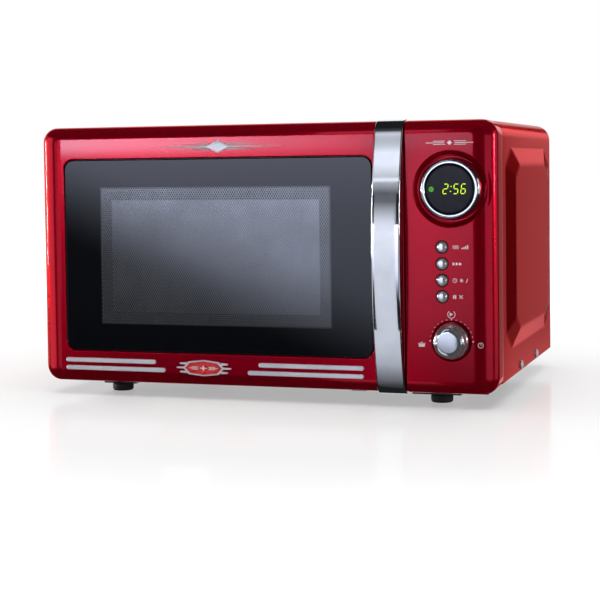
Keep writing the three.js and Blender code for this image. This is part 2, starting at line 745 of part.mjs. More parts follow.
place(door, 'door_frame', doorFrame(), redGloss);
place(door, 'door_glass', doorGlass(), blackGlass);
place(door, 'door_inner_panel', doorInnerPanel(), steel);
place(door, 'choke_cover', chokeCover(), blackPlastic);
place(door, 'inner_window', innerWindow(), clear);
place(door, 'finger_well', fingerWell(), blackPlastic);
place(door, 'door_handle', doorHandle(), chrome);
for (const [name, strip] of Object.entries(TRIMS)) place(door, name, trimStrip(strip), chrome);
place(door, 'badge_plate', badgePlate(), chrome);
place(door, 'badge_inlay', badgeInlay(), redGloss);
place(door, 'emblem_ornament', emblemOrnament(), chrome);

// ---- Control panel ------------------------------------------------------------------------
function controlPanel() {
  const inside = FRONT + PANEL_WALL;
  const { x, z, dish, depth } = DISPLAY;
  let panel = fasciaBlank().intersect(block(PANEL_LEFT, 300, -60, 0.1, 0, 300));
  panel = cut(
    panel,
    block(PANEL_LEFT + 3, 215, inside, 5, 17.5, 256),
    block(214, 221, inside + 5, 5, 17.5, 256),
  );
  panel = join(
    panel,
    rodY(x, z, inside - 0.5, FRONT + depth + 2.5, dish + 2.2, dish + 2.2, 32),
    rodY(DIAL.x, DIAL.z, inside - 0.5, -25, 21, 21, 28),
  );
  panel = cut(
    panel,
    rodY(x, z, -40, FRONT + depth, dish, dish, 36),
    rodY(x, z, -40, -10, 23.2, 23.2, 32),
    rodY(DIAL.x, DIAL.z, -40, FRONT + 3, DIAL.recess, DIAL.recess, 28),
    rodY(DIAL.x, DIAL.z, -40, -20, 4, 4, 12),
  );
  for (const level of BUTTONS.z) {
    panel = cut(panel, rodY(BUTTONS.x, level, -40, -20, BUTTONS.hole, BUTTONS.hole, 20));
  }
  return panel;
}

function displayBezel() {
  const base = FRONT + DISPLAY.depth - GAP;
  const profile = [
    [23, base], [28.4, base], [28.2, -31], [27.4, -35.5], [25.9, -38], [24.3, -38.3],
    [23, -36.8], [23, base],
  ];
  return lathe(profile, 32);
}

function displayLens() {
  const profile = [[0, -36.2], [21.5, -36], [22.6, -35.2], [22.6, -22], [0, -22]];
  return lathe(profile, 32);
}

function controlBoard() {
  let board = block(151, 217, -17.5, -16, 84, 238);
  for (const level of BUTTONS.z) {
    const switchBlock = block(BUTTONS.x - 3, BUTTONS.x + 3, -19.2, -17, level - 3, level + 3);
    board = join(board, switchBlock);
  }
  return join(
    board,
    block(DISPLAY.x - 16, DISPLAY.x + 16, -21.5, -17, DISPLAY.z - 9, DISPLAY.z + 9),
    block(160, 182, -16.5, -4, 172, 196),
  );
}

function button() {
  const { radius } = BUTTONS;
  const profile = [
    [0, -33.6], [2.6, -33.4], [radius - 0.7, -32.4], [radius, -31.2], [radius, -27.4],
    [6.9, -27.4], [6.9, -25.9], [2, -25.9], [2, -21.2], [0, -21.2],
  ];
  return lathe(profile, 14);
}

function encoderBody() {
  const { x, z } = DIAL;
  return cut(
    join(block(x - 7, x + 7, -22, -15, z - 7, z + 7), rodY(x, z, -24.7, -21.5, 8, 8, 12)),
    rodY(x, z, -30, -16.5, 3.5, 3.5, 12),
  );
}

function dialSpindle() {
  return rodY(0, 0, -42, -17, 3, 3, 12);
}

function dialKnob() {
  const r = DIAL.radius;
  const profile = [
    [0, -43.2], [3.4, -43.2], [3.4, -29.6], [r - 0.7, -29.6], [r, -30.6], [r - 0.4, -39],
    [r - 2.4, -43], [r - 6.5, -45.4], [r - 11, -46.1], [0, -46.3],
  ];
  const knob = solid(lathe(profile, 28));
  return cut(knob, block(-r, -r + 5, -48, -43.6, -0.9, 0.9));
}

place(cabinet, 'control_panel', controlPanel(), redGloss);
place(cabinet, 'display_bezel', displayBezel(), chrome, [DISPLAY.x, 0, DISPLAY.z]);
place(cabinet, 'display_lens', displayLens(), blackGlass, [DISPLAY.x, 0, DISPLAY.z]);
place(cabinet, 'control_board', controlBoard(), greenBoard);
place(cabinet, 'encoder_body', encoderBody(), steel);
place(oven, 'dial_spindle', dialSpindle(), steel, [DIAL.x, 0, DIAL.z]);
place(oven, 'dial_knob', dialKnob(), chrome, [DIAL.x, 0, DIAL.z]);
const buttonNames = ['power_button', 'express_button', 'defrost_button', 'cancel_button'];
buttonNames.forEach((name, index) => {
  place(oven, name, button(), chrome, [BUTTONS.x, 0, BUTTONS.z[index]]);
});

export default oven;
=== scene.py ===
from math import cos, pi, radians, sin, sqrt

import bmesh
import bpy
from mathutils import Matrix, Vector


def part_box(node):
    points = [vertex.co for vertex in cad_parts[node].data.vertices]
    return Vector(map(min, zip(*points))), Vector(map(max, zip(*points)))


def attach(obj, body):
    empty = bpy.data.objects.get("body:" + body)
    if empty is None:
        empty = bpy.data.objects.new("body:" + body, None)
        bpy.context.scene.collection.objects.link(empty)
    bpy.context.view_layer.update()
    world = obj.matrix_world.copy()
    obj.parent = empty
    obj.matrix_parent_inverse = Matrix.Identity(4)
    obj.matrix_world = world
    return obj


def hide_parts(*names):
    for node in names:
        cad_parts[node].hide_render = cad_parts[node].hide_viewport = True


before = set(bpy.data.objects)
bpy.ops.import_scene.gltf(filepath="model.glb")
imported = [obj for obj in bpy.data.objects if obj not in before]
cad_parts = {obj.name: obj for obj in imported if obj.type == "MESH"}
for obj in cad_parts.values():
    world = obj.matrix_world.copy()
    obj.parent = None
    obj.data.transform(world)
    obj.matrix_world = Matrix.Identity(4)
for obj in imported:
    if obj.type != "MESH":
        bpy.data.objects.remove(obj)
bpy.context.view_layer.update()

MM = 0.001


# ---- Places taken from the frame ----
class Box:
    """A CAD node's box at rest, in metres, with its middle."""

    def __init__(self, node):
        low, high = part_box(node)
        self.x0, self.y0, self.z0 = low
        self.x1, self.y1, self.z1 = high
        self.cx, self.cy, self.cz = (low + high) / 2


door = Box("door_frame")
panel = Box("control_panel")
glass = Box("door_glass")
handle = Box("door_handle")
well = Box("finger_well")
bezel = Box("display_bezel")
lens = Box("display_lens")
knob = Box("dial_knob")
cover = Box("outer_cover")
badge = Box("badge_plate")
emblem = Box("emblem_ornament")
BUTTONS = ("power_button", "express_button", "defrost_button", "cancel_button")
TRIMS = ("trim_upper_left", "trim_lower_left", "trim_upper_right", "trim_lower_right")
FEET = ("front_left_foot", "front_right_foot", "rear_left_foot", "rear_right_foot")

FRONT = door.y0                      # front plane of the door and the control panel
EDGE = 12 * MM                       # rounding of the fascia's outer edges
SIDE = 21 * MM                       # its longer sweep on the left and right edges
CORNER = 15 * MM                     # its outline's corner radius
CRISP = 1.2 * MM                     # rounding where door and control panel meet


# ---- Mesh building ----
def link(name, data):
    obj = bpy.data.objects.new(name, data)
    bpy.context.scene.collection.objects.link(obj)
    return obj


def new_object(name, verts, faces):
    mesh = bpy.data.meshes.new(name)
    mesh.from_pydata([tuple(v) for v in verts], [], faces)
    obj = link(name, mesh)
    tidy = bmesh.new()
    tidy.from_mesh(mesh)
    bmesh.ops.remove_doubles(tidy, verts=tidy.verts, dist=1e-6)
    bmesh.ops.recalc_face_normals(tidy, faces=tidy.faces)
    tidy.to_mesh(mesh)
    tidy.free()
    return obj


def loft(name, loops, closed=False):
    """A skin over closed loops with equal point counts; it is capped unless the loops close."""
    count = len(loops[0])
    verts = [p for loop in loops for p in loop]
    faces = []
    spans = len(loops) if closed else len(loops) - 1
    for i in range(spans):
        a = i * count
        b = ((i + 1) % len(loops)) * count
        for j in range(count):
            k = (j + 1) % count
            faces.append((a + j, a + k, b + k, b + j))
    if not closed:
        faces.append(tuple(range(count)))
        faces.append(tuple(range(len(verts) - count, len(verts))))
    return new_object(name, verts, faces)


AXES = {
    "X": lambda r, h, a: Vector((h, r * cos(a), r * sin(a))),
    "Y": lambda r, h, a: Vector((r * cos(a), h, r * sin(a))),
    "Z": lambda r, h, a: Vector((r * cos(a), r * sin(a), h)),
}


def turned(name, profile, centre=(0, 0, 0), axis="Y", steps=64, closed=False):
    """A turned piece: profile is (radius, height) pairs in metres, on the axis at its ends."""
    place = AXES[axis]
    centre = Vector(centre)
    verts, rings, faces = [], [], []
    for r, h in profile:
        turns = 1 if r < 1e-7 else steps
        rings.append([len(verts) + i for i in range(turns)])
        verts += [centre + place(r, h, 2 * pi * i / steps) for i in range(turns)]
    pairs = list(zip(rings, rings[1:]))
    if closed:
        pairs.append((rings[-1], rings[0]))
    for a, b in pairs:
        for i in range(steps):
            k = (i + 1) % steps
            quad = [a[i % len(a)], a[k % len(a)], b[k % len(b)], b[i % len(b)]]
            quad = list(dict.fromkeys(quad))
            if len(quad) > 2:
                faces.append(quad)
    return new_object(name, verts, faces)


def soften(points, radius, steps):
    """The polyline with each inner corner rounded."""
    points = [Vector(p) for p in points]
    out = [points[0]]
    for before, corner, after in zip(points, points[1:], points[2:]):
        back = before - corner
        on = after - corner
        reach = min(radius, back.length * 0.48, on.length * 0.48)
        start = corner + back.normalized() * reach
        end = corner + on.normalized() * reach
        for i in range(steps + 1):
            t = i / steps
            out.append(start * (1 - t) ** 2 + corner * (2 * t * (1 - t)) + end * t * t)
    out.append(points[-1])
    return out


def mm_profile(points, radius, steps):
    """A softened profile given in millimetres, returned in metres."""
    return [(p.x * MM, p.y * MM) for p in soften(points, radius, steps)]


def rect_loop(x0, x1, z0, z1, y, radii, steps=8):
    """A rounded rectangle facing -Y; radii go bottom right, top right, top left, bottom left."""
    corners = ((x1, z0, -90), (x1, z1, 0), (x0, z1, 90), (x0, z0, 180))
    loop = []
    for (x, z, start), radius in zip(corners, radii):
        cx = x - radius if x == x1 else x + radius
        cz = z - radius if z == z1 else z + radius
        for i in range(steps + 1):
            a = radians(start + 90 * i / steps)
            loop.append(Vector((cx + radius * cos(a), y, cz + radius * sin(a))))
    return loop


def inset_loop(box, inset, y, radius):
    """A box's outline at y with rounded corners, drawn in by the inset on every side."""
    return rect_loop(box.x0 + inset, box.x1 - inset, box.z0 + inset, box.z1 - inset, y,
                     (radius,) * 4)


def quarter_round(radius, step=15):
    """A quarter circle as (distance left to the side, distance gone from the front) pairs."""
    turns = [radians(a) for a in range(0, 91, step)]
    return [(radius * (1 - sin(a)), radius * (1 - cos(a))) for a in turns]


def select(obj):
    bpy.ops.object.select_all(action="DESELECT")
    obj.select_set(True)
    bpy.context.view_layer.objects.active = obj


def apply_all(obj):
    select(obj)
    for modifier in list(obj.modifiers):
        bpy.ops.object.modifier_apply(modifier=modifier.name)


def carve(obj, *cutters, operation="DIFFERENCE"):
    for cutter in cutters:
        modifier = obj.modifiers.new("cut", "BOOLEAN")
        modifier.operation = operation
        modifier.object = cutter
        modifier.solver = "EXACT"
        select(obj)
        bpy.ops.object.modifier_apply(modifier="cut")
        bpy.data.objects.remove(cutter)
    return obj


def round_edges(obj, width, segments, angle=35):
    modifier = obj.modifiers.new("round", "BEVEL")
    modifier.width = width
    modifier.segments = segments
    modifier.limit_method = "ANGLE"
    modifier.angle_limit = radians(angle)
    apply_all(obj)
    return obj


def shade(obj, angle):
    mesh = obj.data
    mesh.shade_smooth()
    mesh.set_sharp_from_angle(angle=radians(angle))
    weighted = obj.modifiers.new("normals", "WEIGHTED_NORMAL")
    weighted.keep_sharp = True
    weighted.weight = 90
    return obj


def join_into(obj, *others):
    select(obj)
    for other in others:
        other.select_set(True)
    bpy.ops.object.join()
    return obj


def prism(name, outline, y0, y1):
    """A flat drawing in X and Z with thickness from y0 to y1."""
    loops = [[Vector((x, y, z)) for x, z in outline] for y in (y0, y1)]
    return loft(name, loops)


def place_outline(outline, x, z):
    """A drawing in millimetres put round a place in metres."""
    return [(x + px * MM, z + pz * MM) for px, pz in outline]


def brick(name, x0, x1, y0, y1, z0, z1):
    outline = ((x0, z0), (x1, z0), (x1, z1), (x0, z1))
    return prism(name, outline, y0, y1)


def finish_piece(obj, body, slot, material, *nodes, smooth=40):
    """Gives a piece its material and body, and hides the CAD nodes it stands for; the slot argument
    is not used.
    """
    obj.data.materials.clear()
    obj.data.materials.append(material)
    if smooth:
        shade(obj, smooth)
    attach(obj, body)
    if nodes:
        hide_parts(*nodes)
    return obj


# ---- Materials ----
class Recipe:
    """A node material with short calls for its procedural parts."""

    def __init__(self, name):
        self.material = bpy.data.materials.new(name)
        self.material.use_nodes = True
        self.nodes = self.material.node_tree.nodes
        self.links = self.material.node_tree.links
        self.where = self.nodes.new("ShaderNodeTexCoord").outputs["Object"]

    def node(self, kind, inputs=None, **settings):
        made = self.nodes.new("ShaderNode" + kind)
        for key, value in settings.items():
            setattr(made, key, value)
        for key, value in (inputs or {}).items():
            self.put(made.inputs[key], value)
        return made

    def put(self, socket, value):
        if isinstance(value, bpy.types.NodeSocket):
            self.links.new(value, socket)
        else:
            socket.default_value = value

    def math(self, operation, a, b=0.0):
        return self.node("Math", {0: a, 1: b}, operation=operation).outputs[0]

    def scaled(self, x, y, z):
        mapping = self.node("Mapping", {"Vector": self.where, "Scale": (x, y, z)})
        return mapping.outputs["Vector"]

    def noise(self, scale, detail, where=None):
        inputs = {"Vector": where or self.where, "Scale": scale, "Detail": detail}
        return self.node("TexNoise", inputs).outputs["Fac"]

    def ramp(self, fac, *stops):
        made = self.node("ValToRGB", {"Fac": fac})
        band = made.color_ramp.elements
        while len(band) < len(stops):
            band.new(0.5)
        for element, (position, colour) in zip(band, stops):
            element.position = position
            element.color = (*colour, 1.0)
        return made.outputs["Color"]

    def range(self, value, low, high, out_low, out_high, smooth=False):
        kind = "SMOOTHSTEP" if smooth else "LINEAR"
        inputs = {0: value, 1: low, 2: high, 3: out_low, 4: out_high}
        return self.node("MapRange", inputs, interpolation_type=kind).outputs[0]

    def blend(self, noise, dark, light):
        """Two colours over the middle of a noise."""
        return self.ramp(noise, (0.3, dark), (0.7, light))

    def spread(self, noise, low, high):
        """Two values over the middle of a noise."""
        return self.range(noise, 0.3, 0.7, low, high)

    def times(self, a, b):
        return self.math("MULTIPLY", a, b)

    def axis(self, name):
        """One coordinate of the surface point."""
        return self.node("SeparateXYZ", {0: self.where}).outputs[name]

    def mix(self, fac, a, b):
        made = self.node("Mix", data_type="RGBA")
        self.put(made.inputs["Factor"], fac)
        self.put(made.inputs["A"], a)
        self.put(made.inputs["B"], b)
        return made.outputs["Result"]

    def surface(self, output):
        self.links.new(output, self.nodes["Material Output"].inputs["Surface"])
        return self.material


class Paint(Recipe):
    """A Recipe for a Principled surface."""

    def __init__(self, name, **constants):
        super().__init__(name)
        self.shader = self.nodes["Principled BSDF"]
        for key, value in constants.items():
            socket = self.shader.inputs[key.replace("_", " ").title().replace("Ior", "IOR")]
            socket.default_value = value

    def bump(self, height, strength, distance=0.1 * MM, onto=("Normal",)):
        inputs = {"Height": height, "Strength": strength, "Distance": distance}
        normal = self.node("Bump", inputs).outputs["Normal"]
        for name in onto:
            self.links.new(normal, self.shader.inputs[name])

    def set(self, **links):
        for key, value in links.items():
            name = key.replace("_", " ").title()
            self.links.new(value, self.shader.inputs[name])
        return self.material


def candy_red():
    """Metallic red flake under a clear coat, with a little orange peel in the coat."""
    paint = Paint("candy_red", metallic=0.8, coat_weight=0.36, coat_roughness=0.015,
                  specular_ior_level=0.1, specular_tint=(1, 0.06, 0.09, 1))
    flake = paint.noise(2600, 2.0)
    cloud = paint.noise(9, 3.0)
    colour = paint.blend(flake, (0.45, 0.0005, 0.014), (0.58, 0.0009, 0.023))
    colour = paint.mix(paint.range(cloud, 0.35, 0.65, 0, 0.2), colour, (0.49, 0.0006, 0.017, 1))
    rough = paint.spread(flake, 0.19, 0.24)
    paint.bump(paint.noise(420, 1.0), 0.01, 0.05 * MM, onto=("Coat Normal",))
    return paint.set(base_color=colour, roughness=rough)


def satin_red():
    """Powder-smooth metallic paint on the steel cover, duller than the fascia."""
    paint = Paint("satin_red", metallic=0.85, coat_weight=0.15, coat_roughness=0.08,
                  specular_ior_level=0.0, specular_tint=(1, 0.05, 0.07, 1))
    grain = paint.noise(1900, 3.0)
    cloud = paint.noise(7, 2.0)
    colour = paint.blend(grain, (0.42, 0.004, 0.008), (0.54, 0.008, 0.014))
    colour = paint.mix(paint.spread(cloud, 0, 0.3), colour, (0.46, 0.006, 0.011, 1))
    rough = paint.spread(grain, 0.16, 0.22)
    paint.bump(paint.noise(600, 2.0), 0.03, 0.06 * MM, onto=("Normal", "Coat Normal"))
    return paint.set(base_color=colour, roughness=rough)


def chrome_plate(name="chrome_plate", rough_low=0.035, rough_high=0.09, streak=0.015, metal=1.0):
    """Plating, bright or satin: faint polishing streaks and slight hazing."""
    paint = Paint(name, metallic=metal, specular_ior_level=0.2)
    haze = paint.noise(55, 4.0)
    lines = paint.noise(90, 2.0, paint.scaled(8, 8, 0.6))
    colour = paint.ramp(haze, (0.3, (0.78, 0.80, 0.83)), (0.75, (0.88, 0.89, 0.90)))
    rough = paint.spread(haze, rough_low, rough_high)
    paint.bump(lines, streak, 0.08 * MM)
    return paint.set(base_color=colour, roughness=rough)


def screen_mask(paint, x0, x1, z0, z1, fade):
    """1 inside the rectangle, fading to 0 over the given width outside it."""
    past = []
    for name, low, high in (("X", x0, x1), ("Z", z0, z1)):
        off = paint.math("SUBTRACT", paint.axis(name), (low + high) / 2)
        past.append(paint.math("SUBTRACT", paint.math("ABSOLUTE", off), (high - low) / 2))
    return paint.range(paint.math("MAXIMUM", *past), 0, fade, 1, 0)


def hole_grid(paint, pitch, low, high):
    """Staggered round holes: 0 in a hole and 1 on the web between holes."""
    where = paint.node("CombineXYZ", {0: paint.axis("X"), 1: paint.axis("Z")})
    turn = paint.node("Mapping", {"Vector": where.outputs[0], "Scale": (1, 1 / sqrt(3), 1),
                                  "Rotation": (0, 0, radians(45))})
    cells = paint.node("TexVoronoi", {"Vector": turn.outputs[0], "Scale": sqrt(2) / pitch,
                                      "Randomness": 0.0}, voronoi_dimensions="2D")
    return paint.range(cells.outputs["Distance"], low, high, 0, 1, smooth=True)


SCREEN = {"x0": -159 * MM, "x1": 70 * MM, "z0": 72.7 * MM, "z1": 200.5 * MM}
VIEW = {"x0": -148.5 * MM, "x1": 60.6 * MM, "z0": 83.1 * MM, "z1": 189.7 * MM}


def black_glass_screen():
    """Black printed glass with the screening mesh showing in its window."""
    paint = Paint("black_glass_screen", coat_weight=1.0, coat_roughness=0.012, coat_ior=1.55,
                  specular_ior_level=0.0)
    web = hole_grid(paint, 2.3 * MM, 0.3, 0.42)
    outer = screen_mask(paint, **SCREEN, fade=2.5 * MM)
    inner = screen_mask(paint, **VIEW, fade=0.8 * MM)
    mottle = paint.noise(30, 2.0)
    veil = paint.spread(mottle, 0.82, 1.0)
    band = paint.times(paint.times(web, outer), 0.8)
    pane = paint.times(inner, paint.range(web, 0, 1, 0.45, 1.0))
    shown = paint.times(paint.math("MAXIMUM", band, pane), veil)
    colour = paint.mix(shown, (0.002, 0.0022, 0.003, 1), (0.205, 0.212, 0.222, 1))
    rough = paint.range(shown, 0, 1, 0.2, 0.09)
    return paint.set(base_color=colour, roughness=rough, metallic=shown)


def dark_lens():
    paint = Paint("dark_lens", coat_weight=0.3, coat_roughness=0.03, specular_ior_level=0.0)
    cloud = paint.noise(120, 2.0)
    colour = paint.blend(cloud, (0.008, 0.008, 0.011), (0.012, 0.012, 0.016))
    rough = paint.spread(cloud, 0.3, 0.4)
    return paint.set(base_color=colour, roughness=rough)


def moulded(name, dark, light, rough=(0.42, 0.55), bump=0.15, scale=900):
    """Moulded plastic or rubber: fine spark-eroded grain and slight tone drift."""
    paint = Paint(name)
    grain = paint.noise(scale, 4.0)
    drift = paint.noise(18, 2.0)
    colour = paint.blend(drift, dark, light)
    paint.bump(grain, bump, 0.12 * MM)
    return paint.set(base_color=colour, roughness=paint.spread(grain, *rough))


def sheet_metal(name, dark, light, rough=(0.3, 0.45), stretch=(1, 30, 1)):
    """Rolled steel: long faint rolling lines and a soft spangle."""
    paint = Paint(name, metallic=0.9)
    lines = paint.noise(40, 4.0, paint.scaled(*stretch))
    spangle = paint.node("TexVoronoi", {"Vector": paint.where, "Scale": 160.0})
    tone = paint.math("ADD", paint.times(lines, 0.7),
                      paint.times(spangle.outputs["Distance"], 0.4))
    colour = paint.ramp(tone, (0.3, dark), (0.8, light))
    paint.bump(lines, 0.05, 0.05 * MM)
    return paint.set(base_color=colour, roughness=paint.range(tone, 0.3, 0.8, *rough))


def enamel():
    """Light grey cavity paint with fine darker specks."""
    paint = Paint("cavity_paint", coat_weight=0.3, coat_roughness=0.2)
    specks = paint.node("TexVoronoi", {"Vector": paint.where, "Scale": 420.0})
    tone = paint.range(specks.outputs["Distance"], 0.08, 0.2, 1, 0)
    cloud = paint.noise(12, 2.0)
    ground = paint.blend(cloud, (0.52, 0.53, 0.53), (0.60, 0.61, 0.60))
    colour = paint.mix(paint.times(tone, 0.6), ground, (0.25, 0.26, 0.27, 1))
    paint.bump(paint.noise(500, 2.0), 0.08, 0.08 * MM)
    return paint.set(base_color=colour, roughness=paint.spread(cloud, 0.34, 0.44))


def inner_screen():
    """The perforated sheet as seen from the cavity: dark staggered holes in grey paint."""
    paint = Paint("inner_screen", metallic=0.2)
    web = hole_grid(paint, 2.0 * MM, 0.3, 0.4)
    where = screen_mask(paint, **SCREEN, fade=0.5 * MM)
    hole = paint.times(where, paint.math("SUBTRACT", 1.0, web))
    cloud = paint.noise(20, 2.0)
    ground = paint.blend(cloud, (0.33, 0.34, 0.34), (0.40, 0.41, 0.41))
    colour = paint.mix(hole, ground, (0.01, 0.01, 0.012, 1))
    paint.bump(web, 0.3, 0.2 * MM)
    return paint.set(base_color=colour, roughness=paint.spread(cloud, 0.4, 0.5))


def clear_glass(name, tint, wave=0.02):
    """Clear moulded glass with faint waviness."""
    paint = Paint(name, transmission_weight=1.0, ior=1.48)
    ripple = paint.noise(60, 2.0)
    colour = paint.blend(ripple, tint, tuple(min(1.0, c * 1.03) for c in tint))
    paint.bump(ripple, wave, 0.2 * MM)
    return paint.set(base_color=colour, roughness=paint.spread(ripple, 0.01, 0.04))


def printed(name, colour, glow=0.0):
    """Screen-printed ink or a lit display segment, slightly uneven as ink and phosphor are."""
    paint = Paint(name, roughness=0.45)
    mottle = paint.noise(2500, 2.0)
    low = tuple(c * 0.86 for c in colour)
    tone = paint.blend(mottle, low, colour)
    links = {"base_color": tone}
    if glow:
        paint.shader.inputs["Emission Strength"].default_value = glow
        links["emission_color"] = tone
    return paint.set(**links)


def enamel_inlay():
    paint = Paint("enamel_inlay", coat_weight=1.0, coat_roughness=0.03)
    mottle = paint.noise(300, 3.0)
    colour = paint.blend(mottle, (0.62, 0.012, 0.014), (0.74, 0.025, 0.022))
    return paint.set(base_color=colour, roughness=paint.spread(mottle, 0.25, 0.35))


RED = candy_red()
RED_SATIN = satin_red()
CHROME = chrome_plate()
CHROME_BRUSHED = chrome_plate("chrome_handle", 0.03, 0.08, 0.03)
CHROME_CAP = chrome_plate("chrome_cap", 0.06, 0.09, 0.001, 0.8)
CHROME_KNOB = chrome_plate("chrome_knob", 0.04, 0.06, 0.001, 0.92)
SATIN_METAL = chrome_plate("satin_silver", 0.28, 0.36, 0.01, 0.55)
BLACK_GLASS = black_glass_screen()
LENS = dark_lens()
BLACK = moulded("black_moulding", (0.011, 0.011, 0.012), (0.018, 0.018, 0.019))
RUBBER = moulded("foot_rubber_black", (0.010, 0.010, 0.010), (0.017, 0.017, 0.016), (0.5, 0.7), 0.3)
WHITE = moulded("natural_moulding", (0.70, 0.69, 0.65), (0.78, 0.77, 0.73), (0.38, 0.5), 0.08)
BOARD = moulded("solder_mask", (0.015, 0.10, 0.045), (0.025, 0.15, 0.065), (0.3, 0.45), 0.1, 300)
MICA = moulded("mica_board", (0.40, 0.34, 0.25), (0.56, 0.50, 0.40), (0.45, 0.6), 0.2, 200)
ZINC = sheet_metal("zinc_sheet", (0.42, 0.43, 0.45), (0.60, 0.61, 0.63))
# The base plate's steel is made very dark as painted shade: it stands in for the shade under the
# oven, which the glowing floor would otherwise light.
BASE_SHEET_PAINTED_SHADE = sheet_metal("base_sheet_painted_shade", (0.07, 0.07, 0.075), (0.12, 0.12, 0.13))
STEEL = sheet_metal("plain_steel", (0.36, 0.36, 0.37), (0.55, 0.55, 0.56), (0.25, 0.4), (1, 1, 20))
COPPER = sheet_metal("coil_copper", (0.30, 0.12, 0.04), (0.52, 0.25, 0.10), (0.3, 0.45), (1, 1, 60))
CAVITY = enamel()
INNER_SCREEN = inner_screen()
TRAY_GLASS = clear_glass("tray_glass", (0.90, 0.96, 0.94))
WINDOW_FILM = clear_glass("window_film", (0.93, 0.95, 0.95), 0.01)
BULB = clear_glass("bulb_clear", (0.97, 0.97, 0.94), 0.01)
INK = printed("panel_ink", (0.86, 0.82, 0.82))
DIGITS = printed("digit_glow", (0.62, 0.9, 0.01), 0.9)
GREEN = printed("lamp_glow", (0.1, 0.5, 0.03), 0.35)
INLAY = enamel_inlay()


# ---- Camera ----
def make_camera():
    """Stands in front and to the right of the oven and looks a little down and to the left."""
    yaw, pitch, roll = radians(18.27), radians(2.6), radians(-0.73)
    ahead = Vector((-sin(yaw) * cos(pitch), cos(yaw) * cos(pitch),
                    -sin(pitch)))
    right = Vector((cos(yaw), sin(yaw), 0))
    up = right.cross(ahead)
    side = right * cos(roll) + up * sin(roll)
    top = up * cos(roll) - right * sin(roll)
    data = bpy.data.cameras.new("view")
    data.sensor_width = 36
    data.lens = 89.97
    data.shift_y = -0.112
    camera = link("view", data)
    turn = Matrix((side, top, -ahead)).transposed().to_4x4()
    camera.matrix_world = Matrix.Translation((0.4768, -1.4688, 0.222)) @ turn
    bpy.context.scene.camera = camera


# ---- Fascia: door and control panel mouldings ----
def side_inset(depth, across, deep=None):
    """How far a rounded edge stands in from its side, at a depth behind the front."""
    deep = deep or across
    if depth >= deep:
        return 0.0
    return across * (1 - sqrt(1 - (1 - depth / deep) ** 2))


def moulding(name, box, back, left, right, pockets, rear_left=0.8 * MM):
    """A hollow front moulding: left and right are (sweep, depth, outline corner radius)."""
    tail = 0.8 * MM
    angles = (0, 5, 10, 16, 22, 30, 38, 46, 54, 62, 70, 80, 90)
    depths = [EDGE * (1 - cos(radians(a))) for a in angles]
    length = back - box.y0
    rear = [length - left_to_go for left_to_go, _ in quarter_round(rear_left)]
    rear += [length - tail * (1 - share) for share in (0.0, 0.5, 0.87)]
    loops = []
    for depth in sorted(set(depths + rear)):
        behind = length - depth
        in_left = side_inset(depth, left[0], left[1]) + side_inset(behind, rear_left)
        in_right = side_inset(depth, right[0], right[1]) + side_inset(behind, tail)
        front_inset = side_inset(depth, EDGE)
        in_rise = front_inset + side_inset(behind, tail)
        radii = [max(corner - front_inset, 0.6 * MM)
                 for corner in (right[2], right[2], left[2], left[2])]
        loops.append(rect_loop(
            box.x0 + in_left, box.x1 - in_right, box.z0 + in_rise, box.z1 - in_rise,
            box.y0 + depth, radii))
    blank = loft(name, loops)
    for x0, x1, z0, z1, front in pockets:
        inner = (4 * MM,) * 4
        hollow = [rect_loop(x0, x1, z0, z1, y, inner) for y in (front, back + 5 * MM)]
        carve(blank, loft("hollow", hollow))
    return blank


def window_cutter(name, box, gap, radius, depth, lip):
    """A cutter round a box whose mouth flares, so that it leaves a rounded lip."""
    loops = [inset_loop(box, -gap - lip, FRONT - 1 * MM, radius + lip)]
    for grow, behind in quarter_round(lip):
        loops.append(inset_loop(box, -gap - grow, FRONT + behind, radius + grow))
    loops.append(inset_loop(box, -gap, FRONT + depth, radius))
    return loft(name, loops)


def round_cutter(name, box, radius, depth, lip, floor=0.3 * MM):
    """A round cutter on a box's axis, with a flared mouth and a chamfered floor."""
    profile = [(0, -1 * MM), (radius + lip, -1 * MM)]
    profile += [(radius + grow, behind) for grow, behind in quarter_round(lip, 18)]
    profile += [(radius, depth - floor), (radius - floor, depth), (0, depth)]
    return turned(name, profile, (box.cx, FRONT, box.cz), steps=96)


def puck(name, box, radius, near, far):
    """A plain disc on a box's axis, between two depths behind the front."""
    outline = [(0, near), (radius, near), (radius, far), (0, far)]
    return turned(name, outline, (box.cx, FRONT, box.cz))


def build_door_shell():
    pocket = (-207 * MM, 137.5 * MM, 26.2 * MM, 247.7 * MM, -144 * MM)
    shell = moulding("door_shell", door, door.y1, (SIDE, EDGE, CORNER), (CRISP, CRISP, CRISP),
                     [pocket], 8 * MM)
    window = window_cutter("window", glass, 0.8 * MM, 10 * MM, 12 * MM, 1.1 * MM)
    finger = window_cutter("finger", well, 0.3 * MM, 3 * MM, 12 * MM, 0.6 * MM)
    carve(shell, window, finger)
    for low, high in ((20.8 * MM, 27 * MM), (247 * MM, 253.2 * MM)):
        arm = brick("arm_slot", -222.3 * MM, -184.8 * MM, -144.6 * MM, -117 * MM, low, high)
        side = brick("side_slot", -230 * MM, -213.8 * MM, -134.5 * MM, -117 * MM, low, high)
        carve(shell, arm, side)
    finish_piece(shell, "door", "red_gloss", RED, "door_frame")


